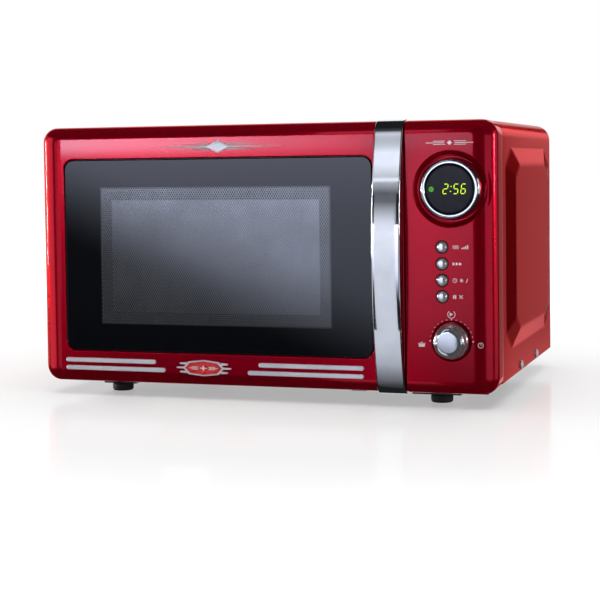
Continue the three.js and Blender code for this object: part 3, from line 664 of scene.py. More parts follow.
def build_panel_shell():
    deep = (205 * MM, 221 * MM, 17.5 * MM, 256 * MM, panel.y0 + 8 * MM)
    wide = (panel.x0 + 3 * MM, 215 * MM, 17.5 * MM, 256 * MM, panel.y0 + 3 * MM)
    shell = moulding("panel_shell", panel, panel.y1, (CRISP, CRISP, CRISP), (SIDE, EDGE, CORNER),
                     [wide, deep])
    backing = puck("backing", bezel, 37 * MM, 2.6 * MM, 7 * MM)
    boss = puck("boss", knob, 21 * MM, 2.6 * MM, 6 * MM)
    carve(shell, backing, boss, operation="UNION")
    dish_shape = mm_profile(
        [(0, -1), (35.4, -1), (35.4, -0.02), (34.1, 0.25), (33.5, 1.4), (32.3, 3.4), (30.2, 4.4),
         (0, 4.5)], 1.2, 4)
    cutters = [
        turned("dish", dish_shape, (bezel.cx, FRONT, bezel.cz), steps=128),
        round_cutter("lens_hole", bezel, 23.2 * MM, 20 * MM, 0.1 * MM),
        round_cutter("dial_dish", knob, 18 * MM, 3 * MM, 1.0 * MM, 1.2 * MM),
        round_cutter("dial_hole", knob, 4 * MM, 20 * MM, 0.1 * MM),
    ]
    for name in BUTTONS:
        cutters.append(round_cutter("hole", Box(name), 5.8 * MM, 20 * MM, 0.5 * MM))
    carve(shell, *cutters)
    finish_piece(shell, "cabinet", "red_gloss", RED, "control_panel")


def build_glass():
    radius, soft = 9.2 * MM, 0.7 * MM
    loops = [inset_loop(glass, inset, glass.y0 + behind, radius - inset)
             for inset, behind in quarter_round(soft)]
    loops.append(inset_loop(glass, 0, glass.y1, radius))
    finish_piece(loft("front_glass", loops), "door", "black_glass", BLACK_GLASS, "door_glass")


def build_finger_well():
    wall, floor, edge = 1.5 * MM, 3 * MM, 0.4 * MM
    y0, y1 = well.y0, well.y1
    outline = [(0, y1, 2), (0, y0 + edge, 2), (edge, y0, 2.4), (wall - edge, y0, 2.4),
               (wall, y0 + edge, 2.4)]
    outline += [(wall + inset, y1 - wall - rise, 3) for rise, inset in quarter_round(floor, 18)]
    loops = [inset_loop(well, inset, y, radius * MM) for inset, y, radius in outline]
    finish_piece(loft("finger_recess", loops), "door", "black_plastic", BLACK, "finger_well")


# ---- Handle ----
def bezier(points, steps):
    a, b, c, d = [Vector(p) for p in points]
    out = []
    for i in range(steps):
        t = i / steps
        s = 1 - t
        out.append(a * s ** 3 + b * 3 * s * s * t + c * 3 * s * t * t + d * t ** 3)
    return out


def handle_curve():
    """The handle's outer line in Y and Z, from its top end to its bottom end."""
    y, top, low = FRONT, handle.z1, handle.z0
    peak, middle = handle.y0 + 0.5 * MM, 137 * MM
    upper = (y - 2.5 * MM, top - 12.4 * MM)
    lower = (y - 3.5 * MM, 24 * MM)
    foot = (y + 11 * MM, low)
    line = bezier([(y + 16 * MM, top), (y + 5.5 * MM, top), (y - 0.6 * MM, top - 3.9 * MM),
                   upper], 14)
    line += bezier([upper, (y - 6 * MM, top - 28.4 * MM), (peak, top - 57 * MM),
                    (peak, middle)], 34)
    line += bezier([(peak, middle), (peak, 75 * MM), (y - 9 * MM, 45 * MM), lower], 34)
    line += bezier([lower, (y - 1.5 * MM, 16 * MM), (y + 2 * MM, low), foot], 14)
    return line + [Vector(foot)]


def build_handle():
    line = handle_curve()
    count = len(line)
    half = (handle.x1 - handle.x0) / 2
    loops = []
    for i, point in enumerate(line):
        along = (line[min(i + 1, count - 1)] - line[max(i - 1, 0)]).normalized()
        inward = Vector((-along.y, along.x))
        if inward.x < 0 and abs(inward.x) > abs(inward.y):
            inward = -inward
        share = min(i, count - 1 - i) / (count - 1)
        thick = (1.1 + 3.7 * min(1.0, share / 0.16)) * MM
        section = handle_section(half, thick)
        loops.append([
            Vector((handle.cx + x, point.x + inward.x * d, point.y + inward.y * d))
            for x, d in section])
    bar = loft("handle_bar", loops)
    finish_piece(bar, "door", "chrome_trim", CHROME_BRUSHED, "door_handle", smooth=50)


def handle_section(half, thick):
    """Half-width and thickness to a closed section: gently crowned, with rounded edges."""
    crown, back = 0.05 * MM, 0.4 * MM
    edge = min(1.3 * MM, thick * 0.45)
    face = [(share * (half - edge), crown * share * share) for share in
            [i / 6 for i in range(-6, 7)]]
    side = [(half - left_to_go, crown + gone) for left_to_go, gone in quarter_round(edge)[1:]]
    side += [(half, thick - back), (half - back, thick)]
    return face + side + [(-x, depth) for x, depth in reversed(side)]


# ---- Steel cover ----
def octagon(y0, y1, z0, z1, cy, cz):
    return [(y0 + cy, z0), (y1 - cy, z0), (y1, z0 + cz), (y1, z1 - cz),
            (y1 - cy, z1), (y0 + cy, z1), (y0, z1 - cz), (y0, z0 + cz)]


def build_cover():
    """One bent sheet with a raised octagonal panel on each side."""
    half, bend = 224.5 * MM, 16 * MM
    y0, y1 = cover.y0, cover.y1
    z0, z1 = cover.z0, cover.z1 - bend
    rise = cover.x1 - half
    foot = octagon(y0 + 21.5 * MM, y0 + 271.5 * MM, 48 * MM, 235 * MM, 29 * MM, 17 * MM)
    crown = octagon(y0 + 51.5 * MM, y0 + 241.5 * MM, 63.5 * MM, 219.5 * MM, 22 * MM, 13 * MM)
    mesh = bmesh.new()
    crease, tops = [], []
    for side in (-1, 1):
        def dot(y, z, out=0.0):
            return mesh.verts.new((side * (half + out), y, z))
        corners = [dot(y0, z0), dot(y1, z0), dot(y1, z1), dot(y0, z1)]
        low = [dot(y, z) for y, z in foot]
        high = [dot(y, z, rise) for y, z in crown]
        for i in range(4):
            here, there = corners[i], corners[(i + 1) % 4]
            mesh.faces.new((here, there, low[2 * i + 1], low[2 * i]))
            mesh.faces.new((there, low[(2 * i + 2) % 8], low[2 * i + 1]))
        for i in range(8):
            k = (i + 1) % 8
            mesh.faces.new((low[i], low[k], high[k], high[i]))
            crease += [(low[i], low[k]), (high[i], high[k]), (low[i], high[i])]
        mesh.faces.new(high)
        tops.append((corners[3], corners[2]))
    steps = 14
    turns = [(-1, 180 - 90 * i / steps) for i in range(1, steps + 1)]
    turns += [(1, 90 - 90 * i / steps) for i in range(steps)]
    rows = [tops[0]]
    for side, degrees in turns:
        x = side * (half - bend) + bend * cos(radians(degrees))
        z = z1 + bend * sin(radians(degrees))
        rows.append([mesh.verts.new((x, y, z)) for y in (y0, y1)])
    rows.append(tops[1])
    for (a0, a1), (b0, b1) in zip(rows, rows[1:]):
        mesh.faces.new((a0, a1, b1, b0))
    weight = mesh.edges.layers.float.new("bevel_weight_edge")
    for a, b in crease:
        mesh.edges.get((a, b))[weight] = 1.0
    bmesh.ops.recalc_face_normals(mesh, faces=mesh.faces)
    data = bpy.data.meshes.new("cover_skin")
    mesh.to_mesh(data)
    mesh.free()
    skin = link("cover_skin", data)
    bevel = skin.modifiers.new("crease", "BEVEL")
    bevel.limit_method = "WEIGHT"
    bevel.width = 2.6 * MM
    bevel.segments = 4
    apply_all(skin)
    centre = Vector((0, (y0 + y1) / 2, 120 * MM))
    flip = sum((p.center - centre).dot(p.normal) * p.area for p in skin.data.polygons) < 0
    if flip:
        skin.data.flip_normals()
    thick = skin.modifiers.new("sheet", "SOLIDIFY")
    thick.thickness = 1.0 * MM
    thick.offset = -1
    apply_all(skin)
    round_edges(skin, 0.35 * MM, 2, 60)
    sheet = 1.1 * MM
    lip = []
    for inset, corner, y in ((sheet, 15 * MM, y1 - sheet), (sheet, 15 * MM, y1),
                             (11 * MM, 6 * MM, y1), (11 * MM, 6 * MM, y1 - sheet)):
        lip.append(rect_loop(-half + inset, half - inset, z0, cover.z1 - inset, y,
                             (0.5 * MM, corner, corner, 0.5 * MM)))
    flange = loft("cover_lip", lip, closed=True)
    round_edges(flange, 0.3 * MM, 2, 60)
    finish_piece(skin, "cabinet", "red_satin", RED_SATIN, "outer_cover", smooth=30)
    finish_piece(flange, "cabinet", "red_satin", RED_SATIN)


# ---- Display, dial and buttons ----
def build_display():
    centre = (bezel.cx, FRONT, bezel.cz)
    ring_shape = mm_profile(
        [(22.7, 4.0), (28.4, 4.2), (28.35, 1.0), (28.0, -2.2), (27.3, -4.6), (26.4, -6.3),
         (25.6, -7.0), (24.95, -7.1), (24.8, -6.4), (24.6, -6.3), (23.2, -6.3), (22.75, -5.7),
         (22.7, 4.0)], 0.35, 4)
    ring = turned("display_ring", ring_shape, centre, steps=128, closed=True)
    finish_piece(ring, "cabinet", "chrome_trim", CHROME, "display_bezel", smooth=50)
    lens_shape = mm_profile([(0, -5.2), (21.0, -5.2), (21.9, -4.95), (22.55, -4.3), (22.55, 9),
                             (0, 9)], 0.5, 3)
    pane = turned("display_window", lens_shape, centre, steps=96)
    finish_piece(pane, "cabinet", "black_glass", LENS, "display_lens")


# Segments a to f go clockwise from the top, and g is the middle bar.
SEGMENTS = {"2": "abged", "5": "afgcd", "6": "afgecd"}


def segment_outline(key, width, height, bar):
    """One segment as a six-sided bar in a digit of the given size."""
    w, h, t = width / 2, height / 2, bar / 2
    level = {"a": h, "g": 0, "d": -h}
    upright = {"b": (w, h / 2), "c": (w, -h / 2), "e": (-w, -h / 2), "f": (-w, h / 2)}
    if key in level:
        x, z = 0, level[key]
        r = w - 0.3 * MM
        return [(x - r, z), (x - r + t, z + t), (x + r - t, z + t), (x + r, z),
                (x + r - t, z - t), (x - r + t, z - t)]
    x, z = upright[key]
    r = h / 2 - 0.35 * MM
    return [(x, z - r), (x + t, z - r + t), (x + t, z + r - t), (x, z + r),
            (x - t, z + r - t), (x - t, z - r + t)]


def build_digits():
    """A lit clock reading and a small round indicator, both just proud of the lens."""
    slant = 0.14
    height, width, bar = 8.6 * MM, 3.9 * MM, 0.72 * MM
    y0, y1 = lens.y0 - 0.12 * MM, lens.y0 + 0.3 * MM
    middle = bezel.cz + 0.2 * MM
    pieces = []
    for text, x in (("2", 181.2), ("5", 190.7), ("6", 197.4)):
        for key in SEGMENTS[text]:
            outline = segment_outline(key, width, height, bar)
            slanted = [(x * MM + px + pz * slant, middle + pz) for px, pz in outline]
            pieces.append(prism("segment", slanted, y0, y1))
    r = 0.45 * MM
    for rise in (-2.2 * MM, 2.2 * MM):
        x, z = 186.1 * MM + rise * slant, middle + rise
        pieces.append(brick("colon", x - r, x + r, y0, y1, z - r, z + r))
    digits = join_into(*pieces)
    digits.name = "clock_digits"
    finish_piece(digits, "cabinet", "display_glow", DIGITS, smooth=0)
    x, z = 168.1 * MM, bezel.cz - 0.1 * MM
    lamp = turned("indicator_lamp", [(0, y0), (2.1 * MM, y0), (2.3 * MM, y0 + 0.1 * MM),
                                     (2.3 * MM, y1), (0, y1)], (x, 0, z), steps=40)
    strips = []
    for rise in (-0.9, 0.0, 0.9):
        line = [(i * 0.283 - 1.7, rise + 0.3 * sin(i * pi / 3)) for i in range(13)]
        outline = [(px, pz + 0.14) for px, pz in line]
        outline += [(px, pz - 0.14) for px, pz in reversed(line)]
        strips.append(prism("wave", place_outline(outline, x, z), y0 - 0.08 * MM, y0 + 0.1 * MM))
    mark = join_into(*strips)
    mark.name = "indicator_waves"
    finish_piece(lamp, "cabinet", "display_glow", GREEN, smooth=40)
    finish_piece(mark, "cabinet", "black_plastic", BLACK, smooth=0)


def build_knob():
    centre = (knob.cx, knob.y0, knob.cz)
    shape = mm_profile(
        [(0, 3.1), (3.4, 3.1), (3.4, 16.7), (15.0, 16.7), (15.7, 15.9), (15.7, 11.2),
         (14.9, 10.6), (14.7, 5.2), (13.9, 2.3), (12.2, 0.7), (9.9, 0.1), (0, 0)], 1.1, 6)
    cap = turned("dial_cap", shape, centre, steps=128)
    notch = [(-1, -0.8), (5.4, -0.8), (6.2, 0), (5.4, 0.8), (-1, 0.8)]
    carve(cap, prism("notch", place_outline(notch, knob.x0, knob.cz), knob.y0 - 1 * MM,
                     knob.y0 + 5 * MM))
    finish_piece(cap, "knob", "chrome_trim", CHROME_KNOB, "dial_knob", smooth=40)


def build_buttons():
    cap_shape = mm_profile(
        [(0, 0), (3.1, 0.06), (4.2, 0.6), (4.8, 1.9), (4.9, 3.6), (4.9, 6.2), (6.9, 6.2),
         (6.9, 7.7), (2, 7.7), (2, 12.4), (0, 12.4)], 0.5, 4)
    collar_shape = mm_profile([(4.98, 1.1), (5.75, 1.1), (5.75, 0.35), (4.98, 0.35),
                               (4.98, 1.1)], 0.15, 2)
    for name in BUTTONS:
        box = Box(name)
        cap = turned(name + "_cap", cap_shape, (box.cx, box.y0, box.cz), steps=56)
        finish_piece(cap, name, "chrome_trim", CHROME_CAP, name, smooth=45)
        collar = turned(name + "_collar", collar_shape, (box.cx, FRONT, box.cz), steps=56,
                        closed=True)
        finish_piece(collar, "cabinet", "black_plastic", BLACK, smooth=45)


# ---- Printed marks on the control panel ----
def stroke(points, width):
    """A thick line through points, as one closed outline."""
    left, right = [], []
    for i, point in enumerate(points):
        a = Vector(points[max(i - 1, 0)])
        b = Vector(points[min(i + 1, len(points) - 1)])
        along = (b - a).normalized()
        across = Vector((-along.y, along.x)) * width / 2
        left.append(tuple(Vector(point) + across))
        right.append(tuple(Vector(point) - across))
    return left + right[::-1]


def speed_lines(x, z, rows, width):
    """Level strokes on both sides of a place, from (rise, start, end) rows."""
    return [stroke([(x + side * start, z + rise), (x + side * end, z + rise)], width)
            for side in (-1, 1) for rise, start, end in rows]


def disc(x, z, radius):
    turns = [2 * pi * i / 16 for i in range(16)]
    return [(x + radius * cos(a), z + radius * sin(a)) for a in turns]


def arc(x, z, radius, start, end, steps=16):
    span = [radians(start + (end - start) * i / steps) for i in range(steps + 1)]
    return [(x + radius * cos(a), z + radius * sin(a)) for a in span]


def bars(x, z, heights):
    return [[(x + 1.7 * i, z - 1.7), (x + 1.7 * i + 1.0, z - 1.7),
             (x + 1.7 * i + 1.0, z - 1.7 + h), (x + 1.7 * i, z - 1.7 + h)]
            for i, h in enumerate(heights)]


def waves(x, z):
    lines = []
    for rise in (-1.2, 0.0, 1.2):
        points = [(x + i * 0.35, z + rise + 0.35 * sin(i * pi / 4)) for i in range(17)]
        lines.append(stroke(points, 0.42))
    return lines


def triangle(x, z, size):
    return [(x, z - size), (x + size * 1.6, z), (x, z + size)]


def flake(x, z):
    lines = []
    for turn in range(3):
        a = radians(60 * turn + 30)
        dx, dz = 1.9 * cos(a), 1.9 * sin(a)
        lines.append(stroke([(x - dx, z - dz), (x + dx, z + dz)], 0.4))
    return lines


def clock(x, z, radius=1.8):
    ring = stroke(arc(x, z, radius, 0, 359, 28), 0.4)
    hands = stroke([(x, z + radius * 0.62), (x, z), (x + radius * 0.5, z)], 0.35)
    return [ring, hands]


def printed_marks():
    """Pictograms in place of words, in millimetres in X and Z."""
    rows = [Box(name).cz / MM for name in BUTTONS]
    x = 186.0
    marks = waves(x, rows[0]) + bars(x + 8.2, rows[0], (1.1, 1.9, 2.7, 3.5))
    marks += [triangle(x + shift, rows[1], 1.6) for shift in (0, 3.0, 6.0)]
    marks += clock(x + 1.9, rows[2]) + flake(x + 8.0, rows[2])
    marks += [stroke([(x + 12.4, rows[2] - 1.8), (x + 13.6, rows[2] + 1.8)], 0.45)]
    marks += bars(x + 0.3, rows[3], (3.4, 3.4))
    for rise in (-1.5, 1.5):
        marks.append(stroke([(x + 6.0, rows[3] + rise), (x + 9.0, rows[3] - rise)], 0.55))
    cx, cz = knob.cx / MM, knob.cz / MM
    for i in range(15):
        a = pi - pi * i / 14
        size = 0.62 if i % 7 == 0 else 0.34
        marks.append(disc(cx + 19.6 * cos(a), cz + 19.6 * sin(a), size))
    marks += [triangle(cx - 1.6, cz + 24.2, 1.9)]
    marks += [stroke(arc(cx, cz + 24.2, 3.4, 125, 415, 30), 0.45)]
    marks += pot(cx - 27.5, cz - 4.0) + clock(cx + 26.5, cz - 3.2, 2.3)
    marks += streamline(184.0, 240.0)
    return marks


def pot(x, z):
    body = [(x - 2.6, z - 1.6), (x + 2.6, z - 1.6), (x + 3.0, z + 0.9), (x - 3.0, z + 0.9)]
    lid = stroke([(x - 3.4, z + 1.5), (x + 3.4, z + 1.5)], 0.5)
    return [body, lid, disc(x, z + 2.3, 0.6)]


def streamline(x, z):
    """Three speed lines either side of a small diamond, where a name would be printed."""
    diamond = [(x - 2.4, z), (x, z - 2.2), (x + 2.4, z), (x, z + 2.2)]
    rows = ((1.5, 4.0, 15.0), (0.0, 4.8, 21.5), (-1.5, 4.0, 15.0))
    return [diamond] + speed_lines(x, z, rows, 0.55)


def build_marks():
    y0, y1 = FRONT - 0.06 * MM, FRONT + 0.2 * MM
    marks = join_into(*[prism("mark", place_outline(outline, 0, 0), y0, y1)
                        for outline in printed_marks()])
    marks.name = "panel_marks"
    finish_piece(marks, "cabinet", "panel_print", INK, smooth=0)


# ---- Chrome trim and ornaments ----
def build_trims():
    for name in TRIMS:
        box = Box(name)
        radius = (box.z1 - box.z0) / 2 - 0.1 * MM
        loops = [inset_loop(box, 0, box.y1 + 0.3 * MM, radius)]
        for rise, inset in quarter_round(0.6 * MM):
            loops.append(inset_loop(box, inset, box.y0 + rise, max(radius - inset, 0.3 * MM)))
        strip = loft(name + "_bar", loops)
        finish_piece(strip, "door", "chrome_trim", SATIN_METAL, name, smooth=50)


def lozenge(half, peak, shoulder):
    return [(-half, 0), (-half + 5, -shoulder), (0, -peak), (half - 5, -shoulder),
            (half, 0), (half - 5, shoulder), (0, peak), (-half + 5, shoulder)]


def build_badge():
    x, z = badge.cx, badge.cz
    back, front = FRONT + 0.2 * MM, badge.y0
    plate = prism("badge_rim", place_outline(lozenge(20.5, 7.6, 6.0), x, z), front, back)
    recess = prism("recess", place_outline(lozenge(18.9, 6.5, 4.9), x, z), front - 1 * MM,
                   front + 0.9 * MM)
    carve(plate, recess)
    round_edges(plate, 0.35 * MM, 3)
    wings = []
    for side in (-1, 1):
        for rise, reach in ((4.0, 24.4), (0.0, 27.6), (-4.0, 24.4)):
            outline = [(side * 17.5, rise - 1.2), (side * reach, rise - 0.7),
                       (side * reach, rise + 0.7), (side * 17.5, rise + 1.2)]
            wing = prism("wing", place_outline(outline, x, z), front + 0.7 * MM, back)
            wings.append(round_edges(wing, 0.4 * MM, 3))
    plate = join_into(plate, *wings)
    finish_piece(plate, "door", "chrome_trim", SATIN_METAL, "badge_plate", smooth=35)
    inlay = prism("badge_enamel", place_outline(lozenge(18.7, 6.35, 4.75), x, z),
                  front + 0.45 * MM, front + 1.2 * MM)
    round_edges(inlay, 0.2 * MM, 2)
    finish_piece(inlay, "door", "red_gloss", INLAY, "badge_inlay", smooth=35)
    star = []
    for i in range(8):
        r = 0.9 if i % 2 else 3.0
        star.append((r * 1.5 * cos(pi / 4 * i), r * sin(pi / 4 * i)))
    rows = ((1.1, 5.2, 12.0), (-1.1, 5.2, 12.0), (0.0, 6.0, 14.5))
    motif = join_into(*[
        prism("motif", place_outline(outline, x, z), front + 0.3 * MM, front + 0.8 * MM)
        for outline in [star] + speed_lines(0, 0, rows, 0.5)])
    motif.name = "badge_motif"
    finish_piece(motif, "door", "panel_print", INK, smooth=0)


def build_emblem():
    """A streamline ornament: a faceted diamond between long tapering darts."""
    x, z = emblem.cx, emblem.cz
    back, front = FRONT + 0.2 * MM, emblem.y0
    parts = []
    for side in (-1, 1):
        for rise, reach, width in ((0.0, 71.0, 1.5), (2.6, 46.0, 1.0), (-2.6, 46.0, 1.0)):
            drawing = ((side * 9, rise - width), (side * 9, rise + width), (side * reach, rise),
                       (side * 9, rise))
            depths = (back, back, back, front + 0.6 * MM)
            verts = [(px, y, pz) for (px, pz), y in zip(place_outline(drawing, x, z), depths)]
            faces = ((0, 1, 2), (0, 3, 1), (1, 3, 2), (2, 3, 0))
            parts.append(new_object("dart", verts, faces))
    rim = [(-13, 0), (0, -6.2), (13, 0), (0, 6.2)]
    verts = [(x + px * MM, back, z + pz * MM) for px, pz in rim]
    verts += [(x + px * 0.86 * MM, front + 0.5 * MM, z + pz * 0.86 * MM) for px, pz in rim]
    verts.append((x, front, z))
    faces = [(0, 1, 2, 3)]
    for i in range(4):
        k = (i + 1) % 4
        faces += [(i, k, 4 + k, 4 + i), (4 + i, 4 + k, 8)]
    parts.append(new_object("diamond", verts, faces))
    ornament = join_into(*parts)
    ornament.name = "streamline_ornament"
    finish_piece(ornament, "door", "chrome_trim", SATIN_METAL, "emblem_ornament", smooth=20)


# ---- Feet, screws and rear ----
def build_feet():
    for name in FEET:
        box = Box(name)
        shape = mm_profile(
            [(0, 0.5), (6.5, 0.5), (7, 0), (9.2, 0), (10.2, 1.1), (10.5, 5.0), (10.0, 7.0), (3, 7.0),
             (3, 13), (0, 13)], 0.7, 4)
        pad = turned(name + "_pad", shape, (box.cx, box.cy, 0), axis="Z", steps=56)
        finish_piece(pad, "cabinet", "foot_rubber", RUBBER, name, smooth=45)


def screw(name, place, side):
    """A pan-head screw lying on a side wall, with a cross recess."""
    x, y, z = place
    shape = mm_profile([(0, 0), (4.25, 0), (4.25, 0.5), (3.6, 1.5), (2.0, 2.15), (0, 2.3)], 0.5, 4)
    head = turned(name, [(r, side * h) for r, h in shape], (x, y, z), axis="X", steps=40)
    outer = x + side * 3 * MM
    inner = x + side * 0.9 * MM
    for wide, tall in ((2.3, 0.45), (0.45, 2.3)):
        bit = brick("bit", min(outer, inner), max(outer, inner), y - wide * MM, y + wide * MM,
                    z - tall * MM, z + tall * MM)
        carve(head, bit)
    return head


def build_screws():
    for name in ("cover_screw_front", "cover_screw_rear"):
        box = Box(name)
        head = screw(name + "_head", (box.x0 - 0.3 * MM, box.cy, box.cz), 1)
        finish_piece(head, "cabinet", "bare_steel", SATIN_METAL, name, smooth=35)
        twin = screw(name + "_left", (0.3 * MM - box.x0, box.cy, box.cz), -1)
        finish_piece(twin, "cabinet", "bare_steel", SATIN_METAL, smooth=35)


# ---- CAD nodes kept as they are, with finished materials ----
def dress_cad_nodes():
    dressed = {
        ZINC: ("rear_panel", "waveguide", "capacitor"),
        # base_plate gets the very dark sheet, painted shade for the underside of the oven.
        BASE_SHEET_PAINTED_SHADE: ("base_plate",),
        STEEL: ("magnetron", "transformer_core", "fan_motor", "turntable_motor", "upper_hinge",
                "lower_hinge", "encoder_body", "dial_spindle"),
        CAVITY: ("cavity_shell",),
        INNER_SCREEN: ("door_inner_panel",),
        BLACK: ("cord_gland", "fan_shroud", "interlock_bracket", "lower_microswitch",
                "upper_microswitch", "choke_cover"),
        WHITE: ("fan_blades", "drive_coupler", "roller_ring", "roller_wheel_1", "roller_wheel_2",
                "roller_wheel_3", "door_latch"),
        BOARD: ("control_board",),
        COPPER: ("transformer_winding",),
        MICA: ("waveguide_cover",),
        TRAY_GLASS: ("glass_tray",),
        WINDOW_FILM: ("inner_window",),
        BULB: ("oven_lamp",),
    }
    for material, names in dressed.items():
        for name in names:
            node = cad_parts[name]
            node.data.materials.clear()
            node.data.materials.append(material)


# ---- Studio ----
def hide_from_camera(obj):
    obj.visible_camera = False
    return obj


def rectangle(name, corners, recipe, strength, tint=(1, 1, 1)):
    """A glowing four-cornered card; strength is a number or a socket of the recipe."""
    mesh = bpy.data.meshes.new(name)
    mesh.from_pydata(corners, [], [(0, 1, 2, 3)])
    obj = link(name, mesh)
    glow = recipe.node("Emission", {"Strength": strength, "Color": (*tint, 1)})
    mesh.materials.append(recipe.surface(glow.outputs[0]))
    return hide_from_camera(obj)


def standing(start, end, z0, z1):
    """The corners of an upright card over a line in X and Y."""
    return [(*start, z0), (*end, z0), (*end, z1), (*start, z1)]


def upright(x0, x1, y, z0, z1):
    return standing((x0, y), (x1, y), z0, z1)


def steps_ramp(recipe, value, stops):
    """A curve through (value, height) stops in rising order."""
    low, high = stops[0][0], stops[-1][0]
    share = recipe.range(value, low, high, 0, 1)
    peak = max(height for _, height in stops)
    greys = [((place - low) / (high - low), (h / peak,) * 3) for place, h in stops]
    return recipe.times(recipe.ramp(share, *greys), peak)


def key_card():
    """Large front-left softbox: it fades down and to the left, under a bar hottest at the left."""
    recipe = Recipe("key_card")
    x, z = recipe.axis("X"), recipe.axis("Z")
    body = steps_ramp(recipe, z, (
        (-0.4, 0.35), (-0.24, 0.45), (-0.1, 0.95), (0.05, 1.25), (0.12, 1.42), (0.235, 2.0),
        (0.3, 2.0)))
    slope = recipe.math("ADD", z, recipe.times(recipe.math("ADD", x, 1.11), 0.44))
    body = recipe.times(body, recipe.range(slope, 0.03, 0.27, 0.05, 1.0, smooth=True))
    bar = recipe.range(z, 0.235, 0.275, 0, 1, smooth=True)
    heat = steps_ramp(recipe, x, (
        (-1.2, 17), (-0.9, 13), (-0.6, 6), (-0.42, 3.0), (-0.3, 1.6), (-0.1, 1.0)))
    strength = recipe.math("ADD", body, recipe.times(bar, heat))
    rectangle("key_card", upright(-1.158, -0.172, -2.0, -0.4, 0.288), recipe, strength,
              (0.9, 0.97, 1.25))


def plain_card(name, corners, strength, tint=(1, 1, 1)):
    rectangle(name, corners, Recipe(name), strength, tint)


def fading_card(name, corners, axis, stops, tint=(1, 1, 1)):
    """A card whose light follows (coordinate, strength) stops along one axis."""
    recipe = Recipe(name)
    return rectangle(name, corners, recipe, steps_ramp(recipe, recipe.axis(axis), stops), tint)


def handle_card():
    """Tall card for the bowed handle, which shows it from end to end.

    Its middle part is narrow, because the glass and the control panel look past it."""
    stops = (
        (-0.6, 0.03), (-0.3, 0.06), (-0.209, 0.12), (-0.185, 0.28), (-0.153, 0.49), (-0.114, 0.61),
        (-0.05, 0.7), (0.033, 0.75), (0.097, 0.78), (0.144, 0.95), (0.168, 0.98), (0.192, 0.86),
        (0.215, 0.5), (0.239, 0.17), (0.262, 0.14), (0.284, 0.42), (0.291, 0.45), (0.295, 1.15),
        (0.3, 1.15), (0.305, 0.6), (0.328, 0.86), (0.349, 1.08), (0.386, 1.08), (0.405, 0.7),
        (0.43, 0.35), (0.47, 0.05), (0.62, 0.04))
    for name, x0, x1, z0, z1 in (("handle_card", 0.0315, 0.068, -0.04, 0.26),
                                 ("handle_card_above", -0.04, 0.11, 0.2601, 0.62),
                                 ("handle_card_below", -0.03, 0.1, -0.6, -0.0401)):
        card = fading_card(name, upright(x0, x1, -0.45, z0, z1), "Z", stops, (0.93, 0.97, 1.1))
        card.visible_diffuse = False
        card.visible_shadow = False


def area_light(name, place, target, width, height, watts, glossy=True):
    data = bpy.data.lights.new(name, "AREA")
    data.shape = "RECTANGLE"
    data.size = width
    data.size_y = height
    data.energy = watts
    lamp = link(name, data)
    lamp.location = place
    aim = Vector(target) - Vector(place)
    lamp.rotation_euler = aim.to_track_quat("-Z", "Y").to_euler()
    lamp.visible_glossy = glossy
    return hide_from_camera(lamp)


def build_floor():
    """White sweep: plain and shadowed by the oven, lit from within far away from it."""
    size = 14.0
    corners = [(-size, -size, 0), (size, -size, 0), (size, size, 0), (-size, size, 0)]
    floor = new_object("studio_floor", corners, [(0, 1, 2, 3)])
    recipe = Recipe("studio_floor")
    away = recipe.node("VectorMath", {0: recipe.where}, operation="LENGTH").outputs["Value"]
    matt = recipe.node("BsdfDiffuse", {"Color": (0.52, 0.515, 0.515, 1)})
    glow = recipe.node("Emission", {"Strength": recipe.range(away, 0.4, 1.2, 0.47, 1.0, True)})
    lit = recipe.node("AddShader", {0: matt.outputs[0], 1: glow.outputs[0]})
    mirror = recipe.node("BsdfAnisotropic", {"Roughness": 0.1})
    near = recipe.range(recipe.axis("Y"), -0.6, -0.15, 0.02, 0.2)
    share = recipe.times(near, recipe.range(away, 0.5, 0.9, 1, 0))
    both = recipe.node("MixShader", {0: share, 1: lit.outputs[0], 2: mirror.outputs[0]})
    floor.data.materials.append(recipe.surface(both.outputs[0]))
    floor.visible_glossy = False


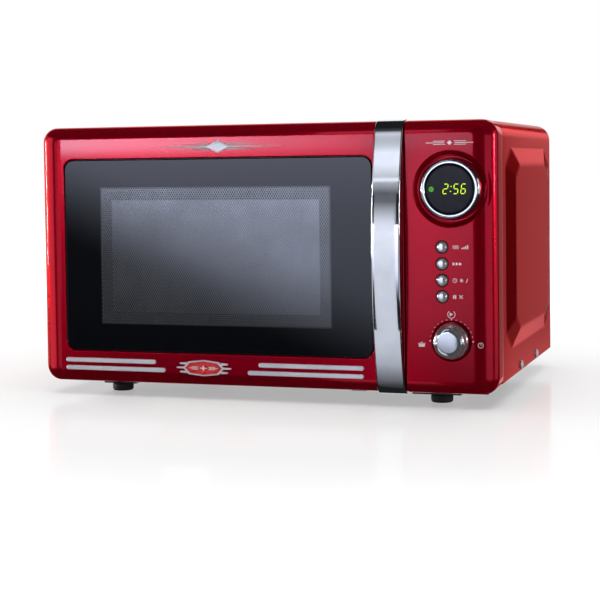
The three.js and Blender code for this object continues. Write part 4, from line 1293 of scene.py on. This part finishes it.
def build_world():
    """White to the camera, and a faint cool fill for everything else."""
    bpy.context.scene.view_settings.view_transform = "Standard"
    world = bpy.data.worlds.new("studio")
    bpy.context.scene.world = world
    world.use_nodes = True
    nodes, links = world.node_tree.nodes, world.node_tree.links
    seen = nodes["Background"]
    seen.inputs["Color"].default_value = (1, 1, 1, 1)
    seen.inputs["Strength"].default_value = 1.0
    fill = nodes.new("ShaderNodeBackground")
    fill.inputs["Color"].default_value = (0.9, 0.95, 1, 1)
    fill.inputs["Strength"].default_value = 0.015
    path = nodes.new("ShaderNodeLightPath")
    mix = nodes.new("ShaderNodeMixShader")
    links.new(path.outputs["Is Camera Ray"], mix.inputs[0])
    links.new(fill.outputs[0], mix.inputs[1])
    links.new(seen.outputs[0], mix.inputs[2])
    links.new(mix.outputs[0], nodes["World Output"].inputs["Surface"])


def build_studio():
    build_world()
    build_floor()
    key_card()
    plain_card("backdrop", upright(-5, 0.12, 2.5, -1.5, 3), 1.0)
    plain_card("right_card", standing((1.1, -1.9), (2.1, -1.2), -0.3, 0.33), 0.7,
               (0.85, 0.95, 1.2))
    handle_card()
    plain_card("left_rim_card", upright(-1.75, -1.17, -2.0, -0.4, 0.45), 0.65)
    plain_card("left_card", standing((-2.0, -1.7), (-2.0, -0.4), -0.5, 0.9), 1.1)
    fading_card("back_right_card", upright(0.4, 0.718, 2.5, -1.2, 2.4), "Z",
                ((-1.2, 1.2), (-0.4, 1.2), (-0.22, 0.55), (0.2, 0.55), (0.4, 1.3), (0.8, 2.0),
                 (2.4, 2.4)))
    plain_card("back_edge_card", upright(0.719, 1.1, 2.5, -1.2, 2.4), 0.22)
    plain_card("right_wall_card", standing((3.0, -0.9), (3.0, 1.6), -0.4, 1.4), 0.6)
    plain_card("left_wall_card", standing((-3.0, -0.2), (-3.0, 1.6), -0.4, 1.4), 0.6)
    area_light("left_strip", (-2.2, -0.15, 0.25), (-0.2, -0.15, 0.13), 0.1, 0.5, 16)
    area_light("right_strip", (2.2, -0.4, 0.35), (0.2, -0.15, 0.14), 0.1, 0.4, 4)
    area_light("left_fill", (-2.2, -0.5, 0.3), (-0.2, -0.12, 0.13), 0.8, 0.8, 30, glossy=False)
    area_light("right_fill", (2.2, -0.2, 0.4), (0.2, -0.1, 0.13), 0.8, 0.8, 10, glossy=False)
    area_light("side_light", (0.95, 3.2, 0.35), (0.23, 0, 0.14), 0.5, 0.4, 60, glossy=False)
    area_light("ceiling", (0.2, -0.2, 2.6), (0, 0, 0), 3.2, 3.2, 88, glossy=False)


make_camera()
build_door_shell()
build_panel_shell()
build_glass()
build_finger_well()
build_handle()
build_cover()
build_display()
build_digits()
build_knob()
build_buttons()
build_marks()
build_trims()
build_badge()
build_emblem()
build_feet()
build_screws()
dress_cad_nodes()
build_studio()

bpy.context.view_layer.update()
